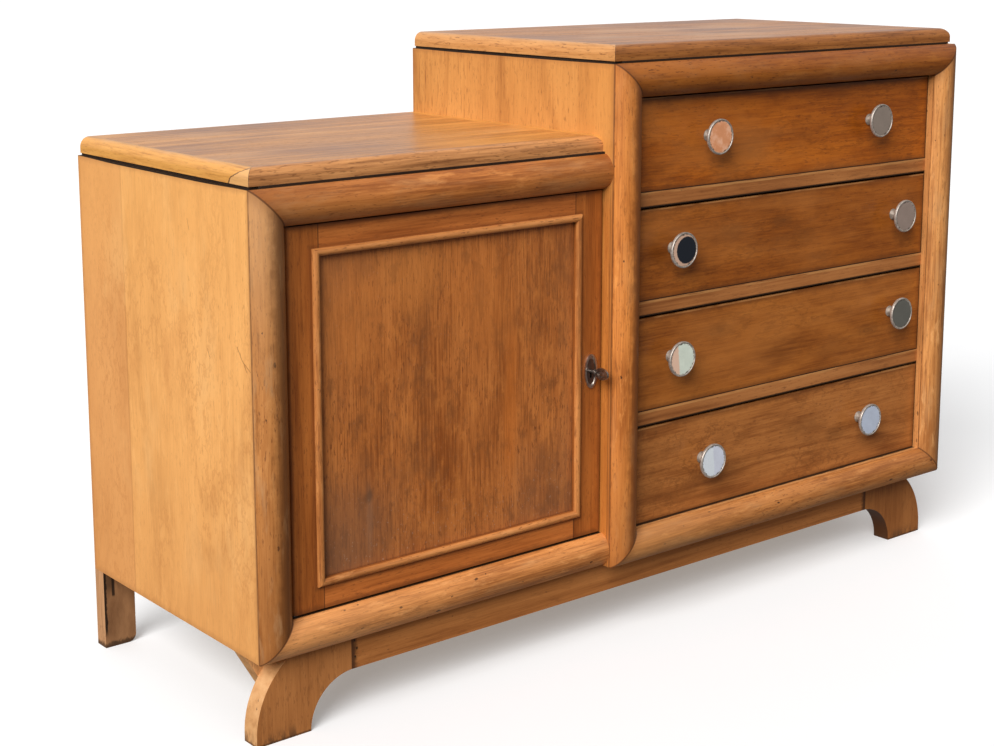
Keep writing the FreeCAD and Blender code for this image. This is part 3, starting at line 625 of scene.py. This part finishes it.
def frame_layers(t):
    """Darkened round its outside, with painted shade beside the bead, the joints of its rails, and a keyhole
    painted black as shade.
    """
    edge_grime_and_shade(t, (0.11, 0.033, 0.008), door_low, door_high, "XZ", 0.009, 0.6)
    in_bead = edge_gap(t, bead_low, bead_high, "XZ")
    # painted shade on the frame beside the bead
    t.fade((0.13, 0.04, 0.01), in_bead, -0.007, -0.001, 0, 0.5)
    outside = t.below(in_bead, 0)
    for joint_x in (bead_low.x + BEAD_WIDTH, bead_high.x - BEAD_WIDTH):
        t.tint((0.06, 0.018, 0.005), t.times(t.line(t.x, joint_x, 0.0006), outside), 0.7)
    # the keyhole is painted black: painted shade standing for the hole
    hole = spot(t, key_x, key_z, *KEYHOLE, bend=0)
    t.fade((0.01, 0.006, 0.004), hole, 0.95, 1.05, 1)


FRAME = dict(contrast=0.85, figure_size=13, rings=4, streak_rate=7, blotch=0.6, stains=0.3,
             rough=0.42, coat=0.1, layers=frame_layers)
dress(["door_left_stile", "door_right_stile"], 0.7, wood(
    "door_frame_wood_upright", "Z", (0.43, 0.122, 0.02), seed=7, **FRAME))
dress(["door_top_rail", "door_bottom_rail"], 0.7, wood(
    "door_frame_wood_level", "X", (0.54, 0.155, 0.029), seed=11, **FRAME))
dress(["door_bead"], 0.3, wood(
    "moulding_wood_bead", "X", (0.52, 0.19, 0.05), seed=9, place=along_bead, **MOULDING))
dress(["door_panel"], 0.3, wood(
    "door_panel_veneer", "Z", (0.51, 0.156, 0.032), seed=13, contrast=0.85, figure=0.2, figure_size=12,
    rings=8, streaks=0.3, streak_rate=16, fibre=1, blotch=0.8, pores=0.8, rough=0.42, coat=0.05,
    layers=door_panel_layers))

# Drawers
DRAWER = dict(contrast=0.8, figure_size=7, figure_length=0.22, curl=2.6, curl_rate=18, streaks=0.6,
              streak_rate=7, fibre=0.8, rough=0.38, coat=0.15)
# The four fronts from the top. A knot is (x, z, size, strength), from the front's lower left corner.
DRAWER_LOOKS = [
    dict(tone=(0.45, 0.111, 0.0075), figure=0.45, rings=5, wave=(13, 13, 80),
         knots=[(0.235, 0.045, 0.012, 0.55), (0.36, 0.06, 0.02, 0.25)]),
    dict(tone=(0.355, 0.096, 0.0105), figure=0.4, rings=5, wave=(16, 16, 80),
         knots=[(0.31, 0.088, 0.008, 0.6), (0.2, 0.085, 0.008, 0.5), (0.36, 0.06, 0.012, 0.4)]),
    dict(tone=(0.38, 0.112, 0.0155), figure=0.45, rings=6, wave=(16, 16, 70),
         knots=[(0.18, 0.098, 0.01, 0.8), (0.52, 0.05, 0.01, 0.5), (0.3, 0.05, 0.02, 0.3)]),
    dict(tone=(0.43, 0.145, 0.032), figure=-0.4, rings=9, wave=(34, 34, 52),
         knots=[(0.37, 0.085, 0.014, 0.35), (0.45, 0.06, 0.01, 0.45), (0.22, 0.05, 0.012, 0.3)]),
]
drawer_face_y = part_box("drawer_1_front")[0].y


def drawer_wood(number, tone, figure, rings, wave, knots):
    """A drawer's front: knots, short wavy figure, mottled clouds, grime round its edges, painted shade under
    it and a painted highlight along its top.
    """
    low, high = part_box(f"drawer_{number}_front")

    def layers(t):
        for from_left, height, size, strength in knots:
            off = spot(t, low.x + from_left, low.z + height, size * 2.4, size)
            ripple = t.times_plus(t.calc("SINE", t.times(off, 9)), 0.15, 0.85)
            t.tint((0.15, 0.048, 0.01), t.between(off, 0.1, 1.9, strength, 0), ripple)
        squiggles(t, scaled(tone, 0.42, 0.38, 0.36), wave, 0.45)
        mottle = t.noise((30, 30, 60), (number + 2, 1, 7), 5, 0.7)
        t.fade(scaled(tone, 0.55, 0.5, 0.45), mottle, 0.52, 0.7, 0, 0.4)
        t.fade(scaled(tone, 1.3, 1.42, 1.6), mottle, 0.3, 0.47, 0.35)
        t.patches((0.54, 0.185, 0.038), (3.4, 3.4, 10), (number, 2, 0), 0.47, 0.7, 0.45, 4)
        t.patches((0.19, 0.054, 0.01), (6, 6, 22), (number + 5, 2, 0), 0.54, 0.72, 0.4, 4)
        edge_grime_and_shade(t, (0.12, 0.036, 0.008), low, high, "XZ", 0.01, 0.6)
        # painted shade in the gap under the drawer, along its lower edge
        t.fade((0.03, 0.01, 0.004), t.minus(t.z, low.z), 0.001, 0.002, 0.85)
        # a painted highlight along the upper edge, broken up in places
        rubbed = t.high((9, 40, 40), (number, 0, 3), 0.42, 0.58, detail=4)
        highlit_upper_edge = t.between(t.minus(high.z, t.z), 0.0012, 0.0026, 0.6, 0)
        t.tint((0.58, 0.26, 0.085), highlit_upper_edge, rubbed)

    return wood(f"drawer_veneer_{number}", "X", tone, seed=20 + 3 * number, figure=figure, rings=rings,
                layers=layers, **DRAWER)


for number, look in zip(DRAWERS, DRAWER_LOOKS):
    dress([f"drawer_{number}_front"], 1, drawer_wood(number, **look), steps=3)


# Rails and posts round the drawers
def rail_layers(t):
    """Painted shade, black, in the gap over each drawer and on the sills, and worn pale with a painted
    highlight along the front edges.
    """
    up = t.facing()[2]
    rubbed = t.high((14, 90, 300), (0, 0, 0), 0.36, 0.6, detail=4)
    for number in DRAWERS:
        low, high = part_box(f"drawer_{number}_front")
        over = t.minus(t.z, high.z)
        # painted shade: black in the gap over each drawer, on the rail above it
        gap = t.between(over, 0.0046, 0.0066, 0.95, 0)
        t.tint((0.012, 0.006, 0.003), gap, t.above(over, 0))
        # the front edge under each drawer: worn pale in patches, and a painted highlight
        under = t.minus(low.z, t.z)
        worn = t.times(rubbed, t.above(under, 0))
        t.tint((0.7, 0.34, 0.115), worn, t.between(under, 0.003, 0.0048, 0.6, 0))
    ragged = t.noise((40, 200, 200), detail=4, rough=0.6)
    # the rounded front edges that face upwards: worn pale in patches, and a painted highlight
    edge = t.times(t.between(up, 0.25, 0.6), t.between(ragged, 0.35, 0.6))
    t.tint((0.72, 0.36, 0.13), edge, 0.7)
    # the sills are painted black with shade under the lowest drawer and the door, and a little in front of
    # them
    upper = t.between(up, 0.5, 0.9)
    for face_y, here in ((drawer_face_y, t.above(t.x, tall_low.x)), (door_low.y, t.below(t.x, tall_low.x))):
        reach = t.times_plus(ragged, 0.006, t.minus(t.y, face_y - 0.001))
        behind = t.between(reach, -0.0008, 0.0008, 0, 0.95)
        t.tint((0.02, 0.008, 0.004), t.times(upper, here), behind)


def post_layers(t):
    """Painted shade, black, in the gaps beside the drawers, behind their faces."""
    gap = t.between(t.minus(t.y, drawer_face_y), -0.0004, 0.0008, 0, 0.95)
    t.tint((0.02, 0.008, 0.004), gap, t.above(t.x, tall_low.x))


rail_wood = wood("rail_wood_between_drawers", "X", (0.42, 0.15, 0.04), seed=15, contrast=0.8, figure_size=14,
                 rings=3, streaks=1, blotch=0.6, pores=0.45, stains=0.35, specks=0.5, layers=rail_layers)
dress(["drawer_rails"], 1, rail_wood, steps=3)
dress(["low_sill", "tall_sill"], 0.4, rail_wood)
dress(["front_posts"], 0.4, wood(
    "rail_wood_posts", "Z", (0.56, 0.225, 0.066), seed=45, contrast=0.8, streaks=1, stains=0.6, specks=0.6,
    rough=0.45, layers=post_layers))

# Feet, apron and legs. Heights are above the floor.
left_foot_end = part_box("front_left_foot")[1].x
right_foot_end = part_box("front_right_foot")[0].x
leg_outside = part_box("rear_right_leg")[1].x
# Nail marks on the apron: distance from the left foot and height
NAIL_MARKS = [(0.006, 0.083), (0.0085, 0.094), (0.005, 0.106)]
NAIL_SIZE = (0.0016, 0.0022)


def foot_layers(t):
    """Pale sawn outer edges with grime in them, inner edges painted dark with shade, and scuffs near the
    floor.
    """
    facing_out = outwards(t)
    outer = t.between(facing_out, 0.3, 0.55)
    # the inner edges, under the case, are painted dark with shade
    t.fade((0.105, 0.038, 0.013), facing_out, -0.55, -0.3, 0.96)
    # the right foot is darker
    t.tint(t.mix(1, t.colour, (0.8, 0.76, 0.7), "MULTIPLY"), t.above(t.x, 0))
    sawn = t.noise((140, 60, 60), detail=4, rough=0.65)
    sawn = t.ramp(sawn, [(0.2, (0.44, 0.2, 0.072)), (0.5, (0.64, 0.325, 0.13)), (0.8, (0.74, 0.42, 0.19))])
    t.tint(sawn, outer)
    dirt_and_shade = t.high((190, 120, 80), (2, 0, 1), 0.66, 0.74, 0.75, 2)
    t.tint((0.12, 0.06, 0.03), dirt_and_shade, outer)
    knocks = t.high((90, 90, 30), (0, 0, 0), 0.45, 0.62, 0.75, 4, 0.7)
    t.tint((0.09, 0.04, 0.018), knocks, t.between(t.z, 0, 0.022, 1, 0))
    t.fade((0.08, 0.035, 0.015), t.z, 0.0015, 0.004, 0.7)


def apron_layers(t):
    """Dark where it meets the feet, with nail marks there, and painted shade under the moulding."""
    ragged = t.noise((120, 120, 160), rough=0.6)
    limit = t.times_plus(ragged, 0.02, 0.002)
    near = t.ratio(t.inside(t.x, left_foot_end, right_foot_end), limit)
    t.fade((0.07, 0.025, 0.009), near, 0.25, 1, 0.9)
    for from_foot, height in NAIL_MARKS:
        mark = spot(t, left_foot_end + from_foot, height, *NAIL_SIZE, bend=1.4)
        t.fade((0.02, 0.01, 0.005), mark, 0.5, 1.1, 0.9)
    # painted shade under the moulding
    t.fade((0.15, 0.05, 0.014), t.z, 0.098, 0.114, 0, 0.25)


def brace_layers(t):
    """Near black on the sides that face each other."""
    t.fade((0.05, 0.02, 0.008), outwards(t), -0.5, 0, 0.95)


def leg_layers(t):
    """The rear legs' front faces are dark, dirty and cracked, with painted shade in a slot and a notch, and
    their floor ends are scuffed.
    """
    front = t.between(t.facing()[1], -0.7, -0.3, 1, 0)
    dusty = t.noise((40, 40, 14), detail=5, rough=0.65)
    dark = t.ramp(dusty, [(0.3, (0.2, 0.082, 0.03)), (0.7, (0.44, 0.21, 0.088))])
    t.tint(dark, front, 0.9)
    ragged = t.noise((160, 160, 90), rough=0.65)
    inwards = t.minus(leg_outside, t.calc("ABSOLUTE", t.x))
    crack = t.times_plus(ragged, -0.006, inwards)
    seam = t.times(t.between(crack, 0, 0.0015, 0.95, 0), t.between(t.z, 0.012, 0.03))
    slot = t.times(t.line(inwards, 0.0145, 0.0016), t.between(t.z, 0.074, 0.078, 0, 0.9))
    behind = t.times(t.between(inwards, 0.013, 0.016, 0.6, 0), t.between(t.z, 0.072, 0.095))
    # the slot and the notch near the top are painted shade, black; the seam low down is a crack
    for mask in (behind, seam, slot):
        t.tint((0.016, 0.008, 0.004), mask, front)
    chips = t.times(t.between(ragged, 0.56, 0.64, 0, 0.8), t.between(t.z, 0, 0.055, 1, 0.15))
    t.tint((0.19, 0.08, 0.035), chips, t.minus(1, front))
    floor_end = t.times_plus(ragged, -0.014, t.z)
    t.fade((0.06, 0.03, 0.015), floor_end, -0.004, 0.002, 0.85)


FOOT = dict(figure=0.3, figure_size=11, rings=4, pores=0.4, specks=0.5, stains=0.35, rough=0.46, coat=0.08)
dress(["front_left_foot", "front_right_foot"], 1.2, wood(
    "foot_wood_feet", "Z", (0.48, 0.178, 0.048), seed=17, contrast=0.65, streaks=0.5, streak_rate=9,
    blotch=0.7, layers=foot_layers, **FOOT))
dress(["front_apron"], 1, wood(
    "foot_wood_apron", "X", (0.5, 0.178, 0.044), seed=19, contrast=0.75, blotch=0.6, layers=apron_layers,
    **FOOT))
dress(["foot_braces"], 1, wood(
    "foot_wood_braces", "Z", (0.66, 0.33, 0.125), seed=49, contrast=0.6, stains=0.3, rough=0.5, coat=0,
    layers=brace_layers))
dress(["rear_left_leg", "rear_right_leg"], 1.5, wood(
    "honey_veneer_legs", "Z", (0.56, 0.29, 0.135), seed=23, contrast=0.6, pores=0.35, stains=0.4, specks=0.4,
    rough=0.5, coat=0, layers=leg_layers), steps=3)

# Inside and back
PIN_STEP = 0.085
PIN_INSET = 0.008


def back_board(node, seed):
    """A thin back, pinned along its edges and dirty towards them."""
    low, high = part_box(node)

    def layers(t):
        edge_grime_and_shade(t, (0.13, 0.075, 0.035), low, high, "XZ", 0.035, 0.45)
        from_side = t.inside(t.x, low.x, high.x)
        from_end = t.inside(t.z, low.z, high.z)
        for along_edge, from_edge in ((t.z, from_side), (t.x, from_end)):
            run = t.minus(t.calc("PINGPONG", along_edge, PIN_STEP / 2), PIN_STEP / 4)
            from_pin = t.away(t.minus(from_edge, PIN_INSET), run)
            t.fade((0.1, 0.05, 0.02), from_pin, 0.003, 0.0075, 0.45)
            t.fade((0.05, 0.045, 0.04), from_pin, 0.0018, 0.0024, 0.95)

    return raw_wood(f"back_board_of_{node}", "Z", (0.44, 0.29, 0.16), seed, layers)


inner_deep = raw_wood("inner_wood_front_to_back", "Y", (0.6, 0.4, 0.22), 29)
dress(["drawer_runners", "shelf_pegs"], 0.4, inner_deep)
dress([f"drawer_{number}_sides" for number in DRAWERS], 0.5, inner_deep)
dress([f"drawer_{number}_bottom" for number in DRAWERS], 0.2, raw_wood(
    "back_board_drawer_floor", "X", (0.52, 0.37, 0.23), 33))
dress(["low_floor", "tall_floor", "cabinet_shelf"], 0.4, raw_wood(
    "inner_wood_level", "X", (0.57, 0.38, 0.21), 25))
# the top rails are near black: painted shade seen through the slit under each top
dress(["low_top_rails", "tall_top_rails"], 0.4, raw_wood(
    "inner_wood_painted_shade", "X", (0.03, 0.016, 0.009), 47))
for node, seed in (("low_back", 31), ("tall_back", 51)):
    dress([node], 0.3, back_board(node, seed))


# Metals
def metal(name, dark, light, rough, grime, grime_tone=(0.1, 0.06, 0.04), metallic=1, layers=None):
    """Metal with a fine uneven polish and grime that eats into it in patches."""
    t = Tree(bpy.data.materials.new(name))
    cloud = t.noise(even(240), detail=4, rough=0.6)
    t.colour = t.ramp(cloud, [(0.3, dark), (0.7, light)])
    mask = t.high(even(624), (3, 1, 2), 0.72 - 0.22 * grime, 0.8 - 0.18 * grime)
    t.tint(grime_tone, mask)
    if layers:
        layers(t)
    shine = t.times_plus(mask, 0.35, t.times_plus(cloud, 0.16, rough - 0.08), clamp=True)
    bare = t.times_plus(mask, -0.6 * metallic, metallic, clamp=True)
    return t.finish(shine, (t.times_plus(mask, -1, cloud), 0.0001, 0.25), metallic=bare)


def plate_layers(t):
    """The plate is dark inside and worn bright along its rim."""
    from_middle = spot(t, key_x, key_z, plate_wide / 2, plate_tall / 2, 0.1)
    t.fade((0.155, 0.12, 0.108), from_middle, 0.7, 0.8, 0.85)


rim_metal = metal("knob_metal_rim", (0.3, 0.25, 0.21), (0.66, 0.58, 0.51), 0.48, 0.55, metallic=0.6)
stem_metal = metal("knob_metal_stem", (0.2, 0.15, 0.115), (0.42, 0.35, 0.29), 0.62, 0.5, metallic=0.4)
key_metal = metal("lock_steel_key", (0.22, 0.19, 0.17), (0.5, 0.45, 0.41), 0.36, 0.4)
dress(["key"], 0.7, key_metal)
dress(["lock_case", "lock_bolt", "strike_plate", "door_pivot_pins", "case_pivot_plates"], 0.3, metal(
    "lock_steel_parts", (0.16, 0.15, 0.14), (0.36, 0.34, 0.32), 0.42, 0.45, (0.1, 0.06, 0.035)))
dress(["escutcheon"], 0.8, metal(
    "escutcheon_metal_plate", (0.42, 0.37, 0.34), (0.8, 0.75, 0.7), 0.32, 0.3, (0.12, 0.08, 0.06),
    layers=plate_layers), steps=3)


def knob_face(name, tone, speck, reflected_patch=None, disc=None, band=None):
    """The polished disc set in a knob. Its tones, with their patches, disc and band, are painted reflections,
    and its silvering has flaked away along the rim.

    A disc is an inner round of another tone, given as (offset, radius, tone), and a band is a strip at the
    left, given as (edge, tone). Both are in units of the knob's radius.
    """
    t = Tree(bpy.data.materials.new(name), "UV")
    x, z = (t.times_plus(part, 2, -1) for part in (t.x, t.y))
    slow = t.noise((2.2, 2.2, 1), detail=4, rough=0.6)
    flake = t.noise((24, 24, 1), rough=0.7)
    t.colour = t.ramp(slow, [(0.3, scaled(tone, 0.86, 0.86, 0.86)), (0.7, tone)])
    if reflected_patch:
        t.fade(reflected_patch, slow, 0.44, 0.6, 0, 0.8)
    if band:
        edge, band_tone = band
        past_edge = t.minus(t.times_plus(z, 0.1, x), edge)
        t.fade(band_tone, t.sway(past_edge, flake, 0.25), -0.03, 0.03, 1)
    if disc:
        offset, radius, disc_tone = disc
        reach = t.sway(t.away(t.minus(x, offset), z), flake, 0.16)
        t.fade(disc_tone, reach, radius - 0.02, radius + 0.03, 1)
    dots = t.high((38, 38, 1), (5, 2, 0), 0.66, 0.73, speck, 2)
    left_half = t.between(x, -0.2, 0.5, 1, 0.3)
    t.tint((0.06, 0.05, 0.045), dots, left_half)
    rim = t.sway(t.away(x, z), flake, 0.1)
    worn = t.between(rim, 0.955, 0.975)
    t.tint((0.5, 0.42, 0.35), worn)
    dash = t.high((9, 9, 1), (1, 6, 0), 0.52, 0.6, rough=0.7)
    t.tint((0.05, 0.035, 0.03), t.times(dash, t.line(rim, 0.95, 0.028)), 0.85)
    shine = t.times_plus(worn, 0.2, 0.28, clamp=True)
    return t.finish(shine, (flake, 0.00005, 0.12), coat=0.1, coat_roughness=0.15, specular=0.3)


# Pieces that are made here
def add(name, data):
    """A new object in the scene."""
    made = bpy.data.objects.new(name, data)
    scene.collection.objects.link(made)
    return made


def ring(mesh, centre, across, up, steps):
    """Points round an ellipse that is given by its two half axes, or its centre alone if they are zero."""
    if not across.length:
        return [mesh.verts.new(centre)]
    turns = [math.tau * i / steps for i in range(steps)]
    return [mesh.verts.new(centre + across * math.cos(turn) + up * math.sin(turn)) for turn in turns]


def stitch(mesh, first, second, material=0, smooth=True):
    """Faces between two rings of points. Either of them may be a single point."""
    steps = max(len(first), len(second))
    for i in range(steps):
        j = (i + 1) % steps
        corners = [first[i % len(first)], second[i % len(second)],
                   second[j % len(second)], first[j % len(first)]]
        face = mesh.faces.new(list(dict.fromkeys(corners)))
        face.material_index = material
        face.smooth = smooth


def lathe(mesh, centre, profile, steps=72, material=0):
    """Turns a profile of (radius, forward) in millimetres about an axis along Y through centre."""
    rings = []
    for radius, forward in profile:
        middle = centre - Vector((0, forward * MM, 0))
        rings.append(ring(mesh, middle, Vector((radius * MM, 0, 0)), Vector((0, 0, radius * MM)), steps))
    for first, second in zip(rings, rings[1:]):
        stitch(mesh, first, second, material)


def piece(name, mesh, materials, body):
    """A finished piece of the scene that rides on a body."""
    bmesh.ops.recalc_face_normals(mesh, faces=mesh.faces[:])
    data = bpy.data.meshes.new(name)
    mesh.to_mesh(data)
    mesh.free()
    for material in materials:
        data.materials.append(material)
    made = add(name, data)
    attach(made, body)
    return made


# Knobs
STEM = [(0, 0.05), (9, 0.05), (9, 0.8), (8.7, 1.4), (8, 2), (7, 3.2), (6.2, 4.8), (5.7, 6.6), (5.5, 9),
        (5.5, 13), (5.9, 16), (7, 18.5), (9, 20.4), (12.5, 21), (20, 21.2)]
RIM = [(20, 21.2), (23.6, 21.5), (25.2, 22.1), (25.9, 23), (26, 23.8), (26, 25.5), (25.75, 26.3),
       (25.2, 26.82), (24.5, 26.98), (23.95, 26.78), (23.7, 26.4), (23.65, 25.8)]
FACE = [(23.6, 25.75), (23.6, 25.95), (22.8, 26.02), (18, 26.08), (10, 26.12), (0, 26.14)]
FACE_WIDTH = 2 * FACE[0][0] * MM
SCREW = [(4.5, 0), (4.5, -1), (4.1, -2), (3.2, -2.7), (1.8, -2.95), (0, -3)]
# The faces of each drawer's left and right knob, whose tones, patches, discs and bands are painted
# reflections
FACE_LOOKS = {
    1: (dict(tone=(0.86, 0.36, 0.17), reflected_patch=(0.93, 0.52, 0.33), speck=0.5),
        dict(tone=(0.31, 0.245, 0.2), speck=0.1)),
    2: (dict(tone=(0.72, 0.46, 0.33), speck=0.1, disc=(0.16, 0.83, (0.017, 0.02, 0.027))),
        dict(tone=(0.35, 0.26, 0.215), speck=0.15)),
    3: (dict(tone=(0.8, 0.86, 0.73), speck=0.25, band=(-0.32, (0.84, 0.55, 0.4))),
        dict(tone=(0.145, 0.138, 0.118), speck=0.1)),
    4: (dict(tone=(0.74, 0.76, 0.86), speck=0.95, band=(0.02, (0.77, 0.81, 0.85))),
        dict(tone=(0.57, 0.62, 0.74), speck=0.2)),
}


def knob_places(node, face_y):
    """The middles of a drawer's two knobs on its face, read from their solids."""
    low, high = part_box(node)
    middle, _, z = (low + high) / 2
    found = []
    for side in (-1, 1):
        group = [v.co.x for v in nodes[node].data.vertices if (v.co.x - middle) * side > 0]
        found.append(Vector(((min(group) + max(group)) / 2, face_y, z)))
    return found


def make_face(name, centre, finish, body):
    """The polished disc in a knob, very slightly crowned."""
    mesh = bmesh.new()
    layer = mesh.loops.layers.uv.new("UVMap")
    lathe(mesh, centre, FACE)
    for face in mesh.faces:
        for loop in face.loops:
            off = loop.vert.co - centre
            loop[layer].uv = (off.x / FACE_WIDTH + 0.5, off.z / FACE_WIDTH + 0.5)
    piece(name, mesh, [finish], body)


def make_knobs(number):
    """A drawer's two knobs, with the ends of their screws inside the drawer."""
    body = f"drawer_{number}"
    node = f"drawer_{number}_knobs"
    front_low, front_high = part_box(f"drawer_{number}_front")
    metalwork = bmesh.new()
    for side, centre in enumerate(knob_places(node, front_low.y)):
        lathe(metalwork, centre, STEM, material=1)
        lathe(metalwork, centre, RIM)
        lathe(metalwork, Vector((centre.x, front_high.y, centre.z)), SCREW, steps=32, material=1)
        finish = knob_face(f"knob_metal_face_{number}_{side + 1}", **FACE_LOOKS[number][side])
        make_face(f"drawer_{number}_knob_face_{side + 1}", centre, finish, body)
    bodies = piece(f"drawer_{number}_knob_bodies", metalwork, [rim_metal, stem_metal], body)
    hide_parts(node)


for number in DRAWERS:
    make_knobs(number)

# The plate that fills the key's bow, thicker in the middle
BOW_LENGTH = 0.025
BOW_HEIGHT = 0.017
BOW_RIM = 0.004
WEB_OVERLAP = 0.0002
# Half the plate's thickness at shares of its radius
WEB_PROFILE = [(0, 0.0011), (0.45, 0.001), (0.8, 0.0006), (1, 0.0004)]


def bow_web():
    hole_length = BOW_LENGTH / 2 - BOW_RIM
    hole_height = BOW_HEIGHT / 2 - BOW_RIM
    reach = hole_length + WEB_OVERLAP
    rise = reach * hole_height / hole_length
    centre = Vector((key_x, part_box("key")[0].y + BOW_LENGTH / 2, key_z))
    mesh = bmesh.new()
    sheets = ([], [])
    for share, half in WEB_PROFILE:
        for sheet, side in zip(sheets, (-half, half)):
            middle = centre + Vector((side, 0, 0))
            across, up = Vector((0, reach * share, 0)), Vector((0, 0, rise * share))
            sheet.append(ring(mesh, middle, across, up, steps=40))
    for sheet in sheets:
        for first, second in zip(sheet, sheet[1:]):
            stitch(mesh, first, second)
    stitch(mesh, sheets[0][-1], sheets[1][-1], smooth=False)
    piece("key_bow_web", mesh, [key_metal], "key")


bow_web()

# Floor, light and camera
FLOOR_REACH = 60
CAMERA_PLACE = (-1.738, -1.9977, 1.0046)
CAMERA_YAW = math.radians(39.1)
CAMERA_PITCH = math.radians(10.14)


def pale_floor():
    """A white studio floor that glows a little, so that shadows on it stay light."""
    data = bpy.data.meshes.new("floor")
    corners = [(FLOOR_REACH * x, FLOOR_REACH * y, 0) for x, y in ((-1, -1), (1, -1), (1, 1), (-1, 1))]
    data.from_pydata(corners, [], [(0, 1, 2, 3)])
    floor = add("floor", data)
    t = Tree(bpy.data.materials.new("pale_floor"))
    cloud = t.noise(even(3), detail=2)
    t.colour = t.ramp(cloud, [(0, (0.79, 0.79, 0.795)), (1, (0.81, 0.81, 0.815))])
    data.materials.append(t.finish(0.7, specular=0.1, glow=0.2))
    floor.visible_diffuse = False
    floor.visible_glossy = False
    floor.visible_shadow = False


def sun(name, towards, strength, spread):
    """A broad soft light that shines along a direction, spread over some degrees."""
    light = bpy.data.lights.new(name, "SUN")
    light.energy = strength
    light.angle = math.radians(spread)
    add(name, light).rotation_euler = Vector(towards).to_track_quat("-Z", "Y").to_euler()


def surroundings():
    """A plain white world, bright above and behind and dim below."""
    t = Tree(bpy.data.worlds.new("studio"), "Generated")
    height = t.between(t.z, -0.25, 0.55, 0.075, 0.41)
    behind = t.between(t.y, 0.15, 0.75, 0, 0.32)
    background = t.node("ShaderNodeBackground")
    t.put(background.inputs["Color"], (1, 1, 1))
    t.put(background.inputs["Strength"], t.times_plus(behind, t.between(t.z, -0.02, 0.06), height))
    t.put(t.node("ShaderNodeOutputWorld").inputs["Surface"], background.outputs[0])
    scene.world = t.owner


def camera():
    """The photograph's view, from the left and a little above. The shift keeps uprights nearly upright."""
    data = bpy.data.cameras.new("photo_camera")
    data.sensor_width = 36
    data.lens = 63.875
    data.shift_y = -0.1197
    level = math.cos(CAMERA_PITCH)
    forward = Vector((math.sin(CAMERA_YAW) * level, math.cos(CAMERA_YAW) * level, -math.sin(CAMERA_PITCH)))
    turn = forward.to_track_quat("-Z", "Y").to_matrix().to_4x4()
    scene.camera = add("photo_camera", data)
    scene.camera.matrix_world = Matrix.Translation(CAMERA_PLACE) @ turn


pale_floor()
surroundings()
sun("key_light", (0.72, 0.4, -0.57), 3.8, 36)
sun("floor_bounce", (0, 0, 1), 0.7, 40)
camera()
scene.view_settings.view_transform = "Standard"
